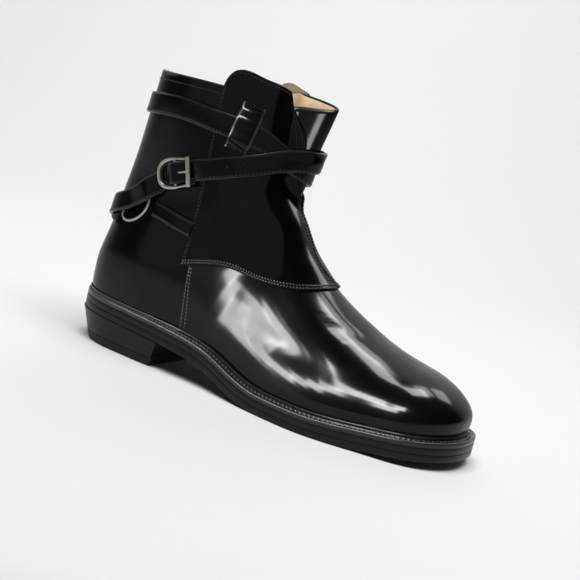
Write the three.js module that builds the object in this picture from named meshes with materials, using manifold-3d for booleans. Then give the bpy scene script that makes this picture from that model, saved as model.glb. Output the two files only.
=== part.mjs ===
// Right ankle boot with a wrap strap, standing on its sole. Lengths in millimetres, angles in degrees.
// +X points to the toe, +Y to the inner side of the foot, +Z up.
import * as THREE from "three";
import { mergeVertices } from "three/addons/utils/BufferGeometryUtils.js";
import Module from "manifold-3d";

const wasm = await Module();
wasm.setup();

// Driving dimensions of the upper
const bootLength = 286; // feather line, heel to toe
const ballWidth = 97;
const instepHeight = 96; // instep above the sole line under it
const shaftHeight = 161.6; // collar above the heel seat
const shaftDepth = 120; // ankle, back to front
const shaftWidth = 66;
const wall = 2.4; // leather with its lining
const panelThickness = 1.7; // front quarters, sewn over the vamp and the back quarter
const clearance = 0.3;

// Driving dimensions of the sole
const heelHeight = 21; // seat above the ball
const outsoleThickness = 5;
const midsoleThickness = 4.3;
const weltThickness = 3.2;
const weltLip = 2.6; // inner lip standing round the upper
const toeSpring = 6;
const weltMargin = 7.5; // sole edge beyond the feather line at the ball
const heelMargin = 2.3;
const liftThickness = 6;
const heelLength = 74; // back of the feather line to the breast
const heelRake = 7; // undercut at the back
const heelTaper = 2; // undercut at the sides
const heelLedge = 0.6; // heel beyond the sole edge at its top
const insoleThickness = 2.4;

// Driving dimensions of the strap, its keeper and the metal parts
const strapWidth = 14.6;
const strapThickness = 2;
const keeperWidth = 15;
const keeperThickness = 1.8;
const tabWidth = 10.5;
const tabThickness = 1.8;
const buckleHeight = 21.6;
const buckleReach = 14; // centre bar to the round end
const barReach = 10; // centre bar to the flat bar
const buckleWire = 2.6;
const sideWire = 1.9;
const pinWire = 2.4;
const prongWire = 1.8;
const ringLength = 26;
const ringWidth = 17;
const ringWire = 2;

// Mesh densities
const ringRows = 22;
const ringColumns = 48;
const columnCluster = 0.42; // columns drawn together towards the front gusset

const clamp = THREE.MathUtils.clamp;
const smooth = (a, b, x) => THREE.MathUtils.smoothstep(x, a, b);
const column = (table, name) => table.map((row) => row[name]);

// A natural cubic curve through a table's points, held level beyond its ends
function curve(xs, ys) {
  const n = xs.length;
  const step = xs.slice(1).map((x, i) => x - xs[i]);
  const bend = new Array(n).fill(0);
  const share = new Array(n).fill(0);
  const rest = new Array(n).fill(0);
  for (let i = 1; i < n - 1; i++) {
    const pull = 6 * ((ys[i + 1] - ys[i]) / step[i] - (ys[i] - ys[i - 1]) / step[i - 1]);
    const weight = 2 * (step[i - 1] + step[i]) - step[i - 1] * share[i - 1];
    share[i] = step[i] / weight;
    rest[i] = (pull - step[i - 1] * rest[i - 1]) / weight;
  }
  for (let i = n - 2; i > 0; i--) bend[i] = rest[i] - share[i] * bend[i + 1];
  return (at) => {
    const x = clamp(at, xs[0], xs[n - 1]);
    let i = 0;
    while (i < n - 2 && x > xs[i + 1]) i++;
    const a = (xs[i + 1] - x) / step[i];
    const b = 1 - a;
    const cubic = (a ** 3 - a) * bend[i] + (b ** 3 - b) * bend[i + 1];
    return a * ys[i] + b * ys[i + 1] + (cubic * step[i] ** 2) / 6;
  };
}
const tableCurve = (table, along, name) => curve(column(table, along), column(table, name));

// Sole line: the top of the welt. at is a share of the length, heel and spring of those two sizes
const soleRows = [
  { at: -0.1, heel: 1.02, spring: 0 },
  { at: 0, heel: 1, spring: 0 },
  { at: 0.22, heel: 0.885, spring: 0 },
  { at: 0.3, heel: 0.81, spring: 0 },
  { at: 0.42, heel: 0.525, spring: 0 },
  { at: 0.54, heel: 0.06, spring: 0 },
  { at: 0.62, heel: -0.012, spring: 0 },
  { at: 0.72, heel: -0.012, spring: 0 },
  { at: 0.86, heel: 0, spring: 0.35 },
  { at: 1, heel: 0, spring: 1 },
  { at: 1.1, heel: 0, spring: 1.4 },
];
const heelShare = tableCurve(soleRows, "at", "heel");
const springShare = tableCurve(soleRows, "at", "spring");
const stack = outsoleThickness + midsoleThickness + weltThickness;
const soleLine = (x) =>
  stack + heelHeight * heelShare(x / bootLength) + toeSpring * springShare(x / bootLength);
const seat = soleLine(0);
const shaftLevel = (share) => seat + share * shaftHeight;

// Foot sections: half widths, sideways shift and ridge lean are shares of the ball width,
// top of the instep height
const footRows = [
  { at: 0, outer: 0.31, inner: 0.31, shift: 0, top: 0.69, lean: 0 },
  { at: 0.1, outer: 0.327, inner: 0.325, shift: 0, top: 0.745, lean: 0 },
  { at: 0.2, outer: 0.344, inner: 0.32, shift: 0, top: 0.8, lean: 0 },
  { at: 0.3, outer: 0.345, inner: 0.285, shift: 0, top: 0.895, lean: 0.01 },
  { at: 0.4, outer: 0.358, inner: 0.26, shift: 0, top: 0.97, lean: 0.03 },
  { at: 0.5, outer: 0.419, inner: 0.3, shift: 0, top: 0.982, lean: 0.05 },
  { at: 0.6, outer: 0.483, inner: 0.385, shift: 0.01, top: 0.77, lean: 0.06 },
  { at: 0.7, outer: 0.515, inner: 0.46, shift: 0.019, top: 0.587, lean: 0.06 },
  { at: 0.78, outer: 0.492, inner: 0.48, shift: 0.04, top: 0.47, lean: 0.05 },
  { at: 0.86, outer: 0.451, inner: 0.465, shift: 0.062, top: 0.39, lean: 0.04 },
  { at: 0.93, outer: 0.421, inner: 0.432, shift: 0.065, top: 0.336, lean: 0.02 },
  { at: 1, outer: 0.395, inner: 0.403, shift: 0.088, top: 0.268, lean: 0 },
];
const outerHalf = tableCurve(footRows, "at", "outer");
const innerHalf = tableCurve(footRows, "at", "inner");
const sideShift = tableCurve(footRows, "at", "shift");
const topShare = tableCurve(footRows, "at", "top");
const ridgeLean = tableCurve(footRows, "at", "lean");
const heelRound = 0.129; // share of the length over which the heel end rounds off
const toeRound = 0.138;
const roundPower = 2.3;
const edgeHeight = 9; // straight side above the feather line
const edgeTuck = 1.5; // how far it draws in below that

// Shaft sections: back and front are shares of the shaft's depth, half widths of its width
const shaftRows = [
  { at: 0, back: 0, front: 1.1, outer: 0.47, inner: 0.47 },
  { at: 0.077, back: 0, front: 1.067, outer: 0.5, inner: 0.485 },
  { at: 0.164, back: 0, front: 1.042, outer: 0.515, inner: 0.5 },
  { at: 0.288, back: 0.016, front: 1.038, outer: 0.5, inner: 0.485 },
  { at: 0.412, back: 0.019, front: 1.093, outer: 0.485, inner: 0.47 },
  { at: 0.535, back: 0.042, front: 1.109, outer: 0.485, inner: 0.47 },
  { at: 0.659, back: 0.07, front: 1.026, outer: 0.5, inner: 0.485 },
  { at: 0.783, back: 0.088, front: 0.994, outer: 0.515, inner: 0.5 },
  { at: 0.907, back: 0.106, front: 0.978, outer: 0.53, inner: 0.515 },
  { at: 1.03, back: 0.12, front: 0.978, outer: 0.538, inner: 0.523 },
];
const backShare = tableCurve(shaftRows, "at", "back");
const frontShare = tableCurve(shaftRows, "at", "front");
const shaftOuter = tableCurve(shaftRows, "at", "outer");
const shaftInner = tableCurve(shaftRows, "at", "inner");
const shaftPower = 2.35;
const ankleBlend = 12; // fillet between shaft and foot
const shaftAxis = 0.525 * shaftDepth;
const heightShare = (z) => (z - seat) / shaftHeight;
const backCurve = (z) => shaftDepth * backShare(heightShare(z));

// Folded front gusset, pinched forward above the strap: how far its tip reaches
const gussetRows = [
  { at: 0.41, tip: 1.017 },
  { at: 0.628, tip: 1.117 },
  { at: 0.814, tip: 1.158 },
  { at: 1.018, tip: 1.213 },
  { at: 1.123, tip: 1.233 },
];
const gussetTip = tableCurve(gussetRows, "at", "tip");
const gussetLength = 34;
const gussetHalf = 9;
const gussetSide = 5;
const gussetCrease = 5;

function blend(a, b, radius) {
  const h = clamp(0.5 + (0.5 * (b - a)) / radius, 0, 1);
  return b * (1 - h) + a * h - radius * h * (1 - h);
}

// Each form is negative inside, zero on its surface, and near the distance outside
function footForm(x, y, z) {
  const back = backCurve(z);
  const t = (x - back) / (bootLength - back);
  const s = clamp(t, 0, 1);
  const half = ((outerHalf(s) + innerHalf(s)) * ballWidth) / 2;
  const low = soleLine(x) + edgeHeight;
  const top = soleLine(x) + instepHeight * topShare(x / bootLength);
  const up = Math.max((z - low) / (top - low), 0);
  const middle = sideShift(s) + (innerHalf(s) - outerHalf(s)) / 2 + ridgeLean(s) * Math.min(up, 1);
  const end = Math.max((heelRound - t) / heelRound, 0) + Math.max((t - 1 + toeRound) / toeRound, 0);
  const side = Math.abs(y - middle * ballWidth) / half;
  const reach = (side ** roundPower + up ** roundPower + end ** roundPower) ** (1 / roundPower);
  const under = clamp((low - z) / edgeHeight, 0, 2);
  return (reach - 1) * half + edgeTuck * under ** 2;
}
function shaftForm(x, y, z) {
  const at = heightShare(z);
  const back = backCurve(z);
  const front = shaftDepth * frontShare(at);
  const half = shaftWidth * (y < 0 ? shaftOuter(at) : shaftInner(at));
  const along = Math.abs(x - (back + front) / 2) / ((front - back) / 2);
  return ((along ** shaftPower + (Math.abs(y) / half) ** shaftPower) ** (1 / shaftPower) - 1) * half;
}
function gussetForm(x, y, z) {
  const along = x - shaftDepth * gussetTip(heightShare(z)) + gussetLength;
  const across = y - gussetSide;
  const reach = Math.hypot(along / gussetLength, across / gussetHalf);
  const slope = Math.hypot(along / gussetLength ** 2, across / gussetHalf ** 2) + 1e-9;
  return (reach * (reach - 1)) / slope;
}
const upperForm = (x, y, z) =>
  blend(blend(footForm(x, y, z), shaftForm(x, y, z), ankleBlend), gussetForm(x, y, z), gussetCrease);

// Rings round the upper, from the feather line to the collar and a row above it:
// back and front are heights as shares of the way up, reach is a share of the length
const rowTable = [
  { back: 0, reach: 1, front: 0 },
  { back: 0.048, reach: 0.993, front: 0.081 },
  { back: 0.098, reach: 0.916, front: 0.156 },
  { back: 0.152, reach: 0.808, front: 0.202 },
  { back: 0.209, reach: 0.717, front: 0.26 },
  { back: 0.269, reach: 0.643, front: 0.324 },
  { back: 0.335, reach: 0.58, front: 0.405 },
  { back: 0.41, reach: 0.531, front: 0.486 },
  { back: 0.496, reach: 0.49, front: 0.578 },
  { back: 0.597, reach: 0.458, front: 0.67 },
  { back: 0.716, reach: 0.441, front: 0.775 },
  { back: 0.855, reach: 0.43, front: 0.89 },
  { back: 1, reach: 0.423, front: 1 },
  { back: 1.14, reach: 0.423, front: 1.14 },
].map((row, i) => ({ at: i / 12, ...row }));
const rowBack = tableCurve(rowTable, "at", "back");
const rowFront = tableCurve(rowTable, "at", "front");
const rowReach = tableCurve(rowTable, "at", "reach");
const followSole = 0.3; // share of the way up over which rings keep the sole's line

// The collar's rise round the shaft; turn 0 is the front, negative on the outer side
const collarRows = [
  { turn: -180, rise: 0 },
  { turn: -90, rise: 0 },
  { turn: -35, rise: 0 },
  { turn: -5, rise: -3 },
  { turn: 4, rise: 3.5 },
  { turn: 40, rise: 6 },
  { turn: 70, rise: 2 },
  { turn: 100, rise: -1.5 },
  { turn: 180, rise: 0 },
];
const collarRise = tableCurve(collarRows, "turn", "rise");

// Where a ray from x0 meets the level surface of a form, by halving
function surfaceDistance(pointAt, level, far) {
  let near = 2;
  let past = far;
  for (let i = 0; i < 26; i++) {
    const middle = (near + past) / 2;
    if (upperForm(...pointAt(middle)) < level) near = middle;
    else past = middle;
  }
  return (near + past) / 2;
}
function ringPoint(at, angle, level) {
  const toeLevel = soleLine(bootLength);
  const reach = bootLength * rowReach(at);
  const back = seat + shaftHeight * rowBack(at);
  const front = toeLevel + (shaftLevel(1) - toeLevel) * rowFront(at);
  const follow = Math.max(1 - at / followSole, 0) ** 1.5;
  const longer = reach / ballWidth;
  const way = new THREE.Vector2(Math.cos(angle) * longer, -Math.sin(angle)).normalize();
  const lift = smooth(0.8, 1, at) * collarRise(THREE.MathUtils.radToDeg(Math.atan2(way.y, way.x)));
  const pointAt = (distance) => {
    const x = reach / 2 + distance * way.x;
    const sag = soleLine(x) - THREE.MathUtils.lerp(seat, toeLevel, x / bootLength);
    const z = back + ((front - back) * x) / reach + follow * sag + lift + clearance;
    return [x, distance * way.y, z];
  };
  return pointAt(surfaceDistance(pointAt, level, bootLength));
}
// Columns run round from the gusset's tip, and are closest there
function columnAngle(i) {
  const collarReach = (bootLength * rowReach(1)) / 2;
  const tip = Math.atan2(-gussetSide * (2 * collarReach) / ballWidth, shaftDepth * gussetTip(1) - collarReach);
  const turn = (2 * Math.PI * i) / ringColumns;
  return tip + turn - columnCluster * Math.sin(turn);
}
function ringGrid(level, first, last) {
  const rings = [];
  for (let row = first; row <= last; row++) {
    const ring = [];
    for (let i = 0; i < ringColumns; i++) ring.push(ringPoint(row / ringRows, columnAngle(i), level));
    rings.push(ring);
  }
  return rings;
}

// A closed body from rings of points: joined in a loop, or capped at both ends
function body(rings, { loop = false, cap = "fan" } = {}) {
  const n = rings[0].length;
  const points = rings.flat().map((p) => [...p]);
  const faces = [];
  const quad = (a, b, c, d) => faces.push([a, b, c], [a, c, d]);
  const joints = loop ? rings.length : rings.length - 1;
  for (let r = 0; r < joints; r++) {
    const next = (r + 1) % rings.length;
    for (let i = 0; i < n; i++) {
      const j = (i + 1) % n;
      quad(r * n + i, r * n + j, next * n + j, next * n + i);
    }
  }
  const close = (start, flip) => {
    const add = (a, b, c) => faces.push(flip ? [c, b, a] : [a, b, c]);
    if (cap === "strip") {
      for (let i = 0; i < n / 2; i++) {
        const across = start + n - i - 1;
        if (i > 0) add(start + i, start + n - i, across);
        if (i < n / 2 - 1) add(start + i, across, start + i + 1);
      }
      return;
    }
    const ring = points.slice(start, start + n);
    const middle = [0, 1, 2].map((k) => ring.reduce((sum, p) => sum + p[k], 0) / n);
    points.push(middle);
    for (let i = 0; i < n; i++) add(points.length - 1, start + ((i + 1) % n), start + i);
  };
  if (!loop) {
    close(0, false);
    close((rings.length - 1) * n, true);
  }
  return meshData(points, faces);
}
function meshData(points, faces) {
  const geometry = new THREE.BufferGeometry();
  geometry.setAttribute("position", new THREE.Float32BufferAttribute(points.flat(), 3));
  geometry.setIndex(faces.flat());
  if (volume(geometry) < 0) geometry.setIndex(faces.map((f) => [...f].reverse()).flat());
  return geometry;
}
function volume(geometry) {
  const p = geometry.attributes.position;
  const at = (i) => new THREE.Vector3().fromBufferAttribute(p, geometry.index.getX(i));
  let sum = 0;
  for (let i = 0; i < geometry.index.count; i += 3) sum += at(i).dot(at(i + 1).cross(at(i + 2)));
  return sum / 6;
}

// Cutting and joining
function toSolid(geometry) {
  const bare = geometry.clone();
  for (const name of ["normal", "uv"]) if (bare.attributes[name]) bare.deleteAttribute(name);
  const merged = mergeVertices(bare, 1e-5);
  const triVerts = Uint32Array.from(merged.index.array);
  const vertProperties = Float32Array.from(merged.attributes.position.array);
  return new wasm.Manifold(new wasm.Mesh({ numProp: 3, vertProperties, triVerts }));
}
function fromSolid(solid) {
  const { vertProperties, triVerts, numProp } = solid.getMesh();
  const points = [];
  for (let i = 0; i < vertProperties.length; i += numProp) {
    points.push(Array.from(vertProperties.slice(i, i + 3)));
  }
  const faces = [];
  for (let i = 0; i < triVerts.length; i += 3) faces.push(Array.from(triVerts.slice(i, i + 3)));
  return meshData(points, faces);
}

// A prism on an outline drawn from the side, or from the front
function sidePrism(outline, low, high) {
  const shape = new THREE.Shape(outline.map(([x, z]) => new THREE.Vector2(x, z)));
  const geometry = new THREE.ExtrudeGeometry(shape, { depth: high - low, bevelEnabled: false });
  return geometry.rotateX(Math.PI / 2).translate(0, high, 0);
}
function frontPrism(outline, low, high) {
  const shape = new THREE.Shape(outline.map(([y, z]) => new THREE.Vector2(y, z)));
  const geometry = new THREE.ExtrudeGeometry(shape, { depth: high - low, bevelEnabled: false });
  return geometry.rotateX(Math.PI / 2).rotateZ(Math.PI / 2).translate(low, 0, 0);
}

// The upper's feather line in plan, from the heel along the outer side to the toe and back
const featherPoint = (angle, level = 0) => ringPoint(0, angle, level).slice(0, 2);
const planRing = (level) => Array.from({ length: ringColumns }, (_, i) =>
  featherPoint(columnAngle(ringColumns / 2 - i), level));
const featherRing = planRing(0);
const liningRing = planRing(-wall);

// The same line behind the breast alone, ending in its two corners
function heelOutline(length, stations) {
  const corner = (side) => {
    let far = Math.PI;
    let near = 0;
    for (let i = 0; i < 30; i++) {
      const middle = (far + near) / 2;
      if (featherPoint(side * middle)[0] < length) far = middle;
      else near = middle;
    }
    return far;
  };
  const ends = [corner(1), corner(-1)];
  const run = (side, end, i) => featherPoint(side * THREE.MathUtils.lerp(Math.PI, end, i / stations));
  const outer = Array.from({ length: stations + 1 }, (_, i) => run(1, ends[0], i));
  const inner = Array.from({ length: stations }, (_, i) => run(-1, ends[1], i + 1));
  return [...outer, ...inner.reverse()];
}
function pushed(ring, distance, open) {
  const n = ring.length;
  return ring.map((p, i) => {
    const atBreast = open && (i === (n - 1) / 2 || i === (n + 1) / 2);
    const before = ring[(i + n - 1) % n];
    const after = ring[(i + 1) % n];
    const way = new THREE.Vector2(after[1] - before[1], before[0] - after[0]).normalize();
    if (atBreast) way.set(0, Math.sign(p[1]));
    return [p[0] + way.x * distance(p[0]), p[1] + way.y * distance(p[0])];
  });
}
const sideMargin = (x) =>
  THREE.MathUtils.lerp(heelMargin, weltMargin, smooth(0.12, 0.47, x / bootLength));
const layer = (ring, edge, height) => pushed(ring, edge, false).map(([x, y]) => [x, y, height(x)]);
const soleRing = (edge, height) => layer(featherRing, edge, height);
const plate = (rows) => body(rows.map(([edge, height]) => soleRing(edge, height)), { cap: "strip" });

// The layers' heights, each resting on the one below
const weltBase = (x) => soleLine(x) - weltThickness;
const midsoleBase = (x) => weltBase(x) - midsoleThickness;
const treadLevel = (x) => Math.max(soleLine(x) - stack, 0);
const above = (line, rise) => (x) => line(x) + rise;
const beyond = (extra) => (x) => sideMargin(x) + extra;
const inside = (depth) => () => -depth;

function outsole() {
  const top = above(midsoleBase, -clearance);
  return plate([
    [beyond(-1.2), treadLevel],
    [beyond(0), (x) => treadLevel(x) + 0.2 * outsoleThickness],
    [beyond(0), above(top, -0.12 * outsoleThickness)],
    [beyond(-0.5), top],
  ]);
}
function midsole() {
  const top = above(weltBase, -clearance - 0.15);
  return plate([
    [beyond(-0.6), midsoleBase],
    [beyond(0), above(midsoleBase, 0.15 * midsoleThickness)],
    [beyond(0), above(top, -0.15 * midsoleThickness)],
    [beyond(-0.6), top],
  ]);
}

// The welt is a strip: outer bead, stitch channel, and the lip that stands round the upper
const weltInset = 6.5;
const lipLean = edgeTuck * (1 - (1 - weltLip / edgeHeight) ** 2); // the upper's own lean behind the lip
const lipFoot = clearance + 0.15;
function welt() {
  const lipTop = lipFoot + lipLean;
  const rows = [
    [inside(weltInset), weltBase],
    [beyond(0), weltBase],
    [beyond(0), above(soleLine, -0.5)],
    [beyond(-0.9), above(soleLine, 0.1)],
    [beyond(-1.7), above(soleLine, -0.3)],
    [inside(-lipTop - 0.9), above(soleLine, -0.3)],
    [inside(-lipTop - 0.6), above(soleLine, weltLip)],
    [inside(-lipTop), above(soleLine, weltLip)],
    [inside(-lipFoot), soleLine],
    [inside(weltInset), soleLine],
  ];
  return body(rows.map(([edge, height]) => soleRing(edge, height)), { loop: true });
}
// The insole fills the welt's opening and spreads over it to the wall
function insole() {
  const under = above(soleLine, clearance);
  const lower = [above(weltBase, clearance), under];
  const upper = [under, above(under, insoleThickness)];
  const rings = [
    ...lower.map((height) => soleRing(inside(weltInset + clearance), height)),
    ...upper.map((height) => layer(liningRing, inside(clearance + 0.1), height)),
  ];
  return body(rings, { cap: "strip" });
}

// Heel: the sole's outline up to the breast, drawn in towards the floor
const breastLean = 3;
const heelRing = heelOutline(heelLength, 12);
function heelSection(share, height) {
  const edge = (x) => sideMargin(x) + heelLedge - heelTaper * (1 - share);
  return pushed(heelRing, edge, true).map(([x, y]) => {
    const backward = clamp(1 - x / (0.55 * heelLength), 0, 1);
    const forward = clamp(x / heelLength, 0, 1) ** 4;
    const run = x + heelRake * (1 - share) * backward + breastLean * share * forward;
    return [run, y, height(run)];
  });
}
const heelTop = above(treadLevel, -clearance);
const liftTop = () => liftThickness;
function heelBlock() {
  const foot = liftThickness + clearance;
  const rise = foot / heelTop(0);
  const sections = [0, 0.3, 0.65, 0.94, 1].map((up) => {
    const height = (x) => THREE.MathUtils.lerp(foot, heelTop(x), up);
    return heelSection(THREE.MathUtils.lerp(rise, 1, up) - (up === 1 ? 0.2 : 0), height);
  });
  return body(sections, { cap: "fan" });
}
function topLift() {
  const rise = liftThickness / heelTop(0);
  return body([heelSection(0, () => 0), heelSection(rise, liftTop)], { cap: "fan" });
}

// Upper: one shell, outer rings up and inner rings down
function upper() {
  const outer = ringGrid(0, 0, ringRows);
  const inner = ringGrid(-wall, 0, ringRows).reverse();
  return body([...outer, ...inner], { loop: true });
}

// Front quarters: panels over the upper, cut by their side outline and their front edge
const seamAt = 0.276; // rear seam, share of the length
const vampRows = [
  { at: seamAt, seam: 0.246 },
  { at: 0.332, seam: 0.275 },
  { at: 0.4, seam: 0.296 },
  { at: 0.45, seam: 0.289 },
  { at: 0.53, seam: 0.29 },
  { at: 0.58, seam: 0.302 },
  { at: 0.63, seam: 0.322 },
  { at: 0.75, seam: 0.34 },
];
const flapRows = [
  { at: 0.278, top: 0.99 },
  { at: 0.283, top: 1.03 },
  { at: 0.29, top: 1.058 },
  { at: 0.3, top: 1.077 },
  { at: 0.312, top: 1.086 },
  { at: 0.324, top: 1.089 },
  { at: 0.346, top: 1.083 },
  { at: 0.373, top: 1.072 },
  { at: 0.396, top: 1.065 },
  { at: 0.41, top: 1.055 },
  { at: 0.425, top: 1.04 },
];
const edgeRows = [
  { at: 0.2, near: 10, far: 11 },
  { at: 0.335, near: 7, far: 8 },
  { at: 0.385, near: 1, far: 2 },
  { at: 0.44, near: 2, far: 3 },
  { at: 0.535, near: 3, far: 4.2 },
  { at: 0.625, near: 2.4, far: 7 },
  { at: 0.7, near: 0.5, far: 15 },
  { at: 0.84, near: -2, far: 15.5 },
  { at: 0.95, near: -5, far: 16 },
  { at: 1.045, near: -12, far: 16.5 },
  { at: 1.12, near: -20, far: 17 },
];
const nearEdge = tableCurve(edgeRows, "at", "near");
const farEdge = tableCurve(edgeRows, "at", "far");
function panel(side) {
  const far = 0.75;
  const toSide = (at, share) => [bootLength * at, shaftLevel(share)];
  const bottom = vampRows.map((row) => toSide(row.at, row.seam));
  const top = [...flapRows].reverse().map((row) => toSide(row.at, row.top));
  const last = flapRows[flapRows.length - 1];
  const region = sidePrism([...bottom, toSide(far, last.top), ...top], -ballWidth, ballWidth);
  const [low, high] = [edgeRows[0].at, edgeRows[edgeRows.length - 1].at];
  const edge = Array.from({ length: 25 }, (_, i) => {
    const at = THREE.MathUtils.lerp(low, high, i / 24);
    return [side < 0 ? nearEdge(at) : farEdge(at), shaftLevel(at)];
  });
  const shoulder = [high, low].map((at) => [side * ballWidth, shaftLevel(at)]);
  const cut = frontPrism([...edge, ...shoulder], 0, bootLength);
  const first = 4;
  const outer = toSolid(body(ringGrid(clearance + panelThickness, first, ringRows + 2)));
  const inner = toSolid(body(ringGrid(clearance, first, ringRows + 2)));
  return fromSolid(outer.subtract(inner).intersect(toSolid(region)).intersect(toSolid(cut)));
}

// The shaft's girth as a strap sees it: panels on, hollows bridged. Levels run up the shaft
const girthStep = 4;
const girthTurns = 120;
const girthLow = shaftLevel(0.2);
const girthCount = Math.ceil((shaftLevel(1) - girthLow) / girthStep) + 1;
function cover(x, y, z) {
  const at = heightShare(z);
  const open = y > nearEdge(at) + 1.5 && y < farEdge(at) - 1.5;
  return open ? 0 : (clearance + panelThickness) * smooth(seamAt - 0.03, seamAt - 0.006, x / bootLength);
}
function hullRadii(z) {
  const points = [];
  for (let i = 0; i < girthTurns; i++) {
    const turn = (2 * Math.PI * i) / girthTurns - Math.PI;
    const at = (r) => [shaftAxis + r * Math.cos(turn), r * Math.sin(turn), z];
    const covered = cover(...at(surfaceDistance(at, 0, shaftDepth)));
    points.push({ turn, r: surfaceDistance(at, covered, shaftDepth) });
  }
  const inside = (a, b, c) => {
    const chord = (a.r * c.r * Math.sin(c.turn - a.turn)) /
      (a.r * Math.sin(b.turn - a.turn) + c.r * Math.sin(c.turn - b.turn));
    return chord > b.r ? chord : b.r;
  };
  for (const span of [10, 7, 5, 3, 2, 1]) {
    const old = points.map((p) => ({ ...p }));
    points.forEach((p, i) => {
      const before = old[(i + girthTurns - span) % girthTurns];
      const after = old[(i + span) % girthTurns];
      const angle = (2 * Math.PI * span) / girthTurns;
      p.r = inside({ turn: -angle, r: before.r }, { turn: 0, r: p.r }, { turn: angle, r: after.r });
    });
  }
  return points.map((p) => p.r);
}
const girths = Array.from({ length: girthCount }, (_, i) => hullRadii(girthLow + i * girthStep));
function girthAt(turn, z) {
  const level = clamp((z - girthLow) / girthStep, 0, girthCount - 1.001);
  const place = THREE.MathUtils.euclideanModulo((turn + 180) / 360, 1) * girthTurns;
  const row = Math.floor(level);
  const spot = Math.floor(place) % girthTurns;
  const next = (spot + 1) % girthTurns;
  const across = (r) => THREE.MathUtils.lerp(girths[r][spot], girths[r][next], place - Math.floor(place));
  return THREE.MathUtils.lerp(across(row), across(row + 1), level - row);
}
function rim(turn, z) {
  const r = girthAt(turn, z);
  const angle = THREE.MathUtils.degToRad(turn);
  return new THREE.Vector3(shaftAxis + r * Math.cos(angle), r * Math.sin(angle), z);
}
function outwards(turn, z) {
  const round = rim(turn + 4, z).sub(rim(turn - 4, z));
  const upwards = rim(turn, z + 5).sub(rim(turn, z - 5));
  return round.cross(upwards).normalize();
}
const perDegree = (turn, z) => rim(turn + 2, z).distanceTo(rim(turn - 2, z)) / 4;
const onShaft = (turn, z, lift) => rim(turn, z).addScaledVector(outwards(turn, z), lift);

// A leather strip laid along a route of turns round the shaft, heights and lifts off it
function strip(route, width, thickness, step, across) {
  const turns = column(route, "turn");
  const sign = Math.sign(turns[turns.length - 1] - turns[0]);
  const key = route.map((row) => row.run ?? sign * row.turn);
  const height = curve(key, column(route, "at").map(shaftLevel));
  const lift = curve(key, column(route, "lift"));
  const wide = curve(key, route.map((row) => row.wide ?? 1));
  const turnAt = curve(key, turns);
  const rings = [];
  for (const k of stations(key[0], key[key.length - 1], step)) {
    const spot = (at) => onShaft(turnAt(at), height(at), 0);
    const along = spot(k + 0.5).sub(spot(k - 0.5)).normalize();
    const out = outwards(turnAt(k), height(k));
    const sideways = out.clone().cross(along).normalize();
    const round = new THREE.Vector3(0, 0, 1).cross(out).normalize();
    const degree = perDegree(turnAt(k), height(k));
    const layers = [[], []];
    for (let j = 0; j < across; j++) {
      const off = width * wide(k) * (j / (across - 1) - 0.5);
      const turn = turnAt(k) + (off * sideways.dot(round)) / degree;
      const z = height(k) + off * sideways.z;
      layers[0].push(onShaft(turn, z, lift(k)).toArray());
      layers[1].push(onShaft(turn, z, lift(k) + thickness).toArray());
    }
    rings.push([...layers[0], ...layers[1].reverse()]);
  }
  return body(rings, { cap: "fan" });
}
// Stations along a strip, closer where it bends round the gusset's tip
const tipTurn = 4;
function stations(first, last, step) {
  const found = [first];
  while (found[found.length - 1] < last - 1e-6) {
    const k = found[found.length - 1];
    const away = Math.abs(THREE.MathUtils.euclideanModulo(k + tipTurn + 180 + 1.5, 360) - 180);
    found.push(Math.min(k + (away < 9 ? Math.min(step, 2.6) : step), last));
  }
  return found;
}

// The strap's two turns, from the buckle low round the heel, up through the keeper,
// high round the back and across the front to the buckle
const snug = clearance + 0.2;
const crossing = 2 * snug + strapThickness;
const overRing = 2 * snug + ringWire;
const overTip = snug + 0.9; // bent round the gusset's tip
const overPin = 7.3;
const strapRoute = [
  { turn: -94, at: 0.614, lift: snug },
  { turn: -110, at: 0.576, lift: snug },
  { turn: -117, at: 0.552, lift: snug + 0.2 },
  { turn: -125, at: 0.52, lift: overRing },
  { turn: -143, at: 0.447, lift: overRing },
  { turn: -162, at: 0.393, lift: overRing },
  { turn: -174, at: 0.373, lift: snug },
  { turn: -185, at: 0.368, lift: snug },
  { turn: -210, at: 0.392, lift: snug },
  { turn: -240, at: 0.449, lift: snug },
  { turn: -270, at: 0.517, lift: snug },
  { turn: -300, at: 0.591, lift: snug },
  { turn: -330, at: 0.678, lift: snug + 0.2 },
  { turn: -345, at: 0.712, lift: snug + 0.4 },
  { turn: -356, at: 0.738, lift: overTip },
  { turn: -366, at: 0.766, lift: snug + 0.3 },
  { turn: -389, at: 0.836, lift: snug },
  { turn: -410, at: 0.856, lift: snug },
  { turn: -440, at: 0.869, lift: snug },
  { turn: -465, at: 0.876, lift: snug },
  { turn: -510, at: 0.866, lift: snug },
  { turn: -540, at: 0.857, lift: snug },
  { turn: -600, at: 0.845, lift: snug },
  { turn: -660, at: 0.823, lift: snug },
  { turn: -680, at: 0.816, lift: 1.4 },
  { turn: -700, at: 0.81, lift: crossing + 0.2 },
  { turn: -716, at: 0.8, lift: crossing + 0.8 },
  { turn: -732, at: 0.768, lift: crossing + 0.2 },
  { turn: -746, at: 0.7315, lift: crossing },
  { turn: -760, at: 0.7, lift: 2.1 },
  { turn: -772, at: 0.676, lift: 0.8 },
  { turn: -790, at: 0.648, lift: snug },
  { turn: -798, at: 0.636, lift: snug },
  { turn: -801, at: 0.6315, lift: 1 },
  { turn: -807, at: 0.6225, lift: 4.6 },
  { turn: -813, at: 0.6125, lift: overPin },
  { turn: -820, at: 0.603, lift: 5.4, wide: 1 },
  { turn: -825, at: 0.5965, lift: crossing + 0.5, wide: 0.96 },
  { turn: -829, at: 0.5905, lift: crossing + 0.1, wide: 0.74 },
  { turn: -831.5, at: 0.587, lift: crossing, wide: 0.42 },
];
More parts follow.
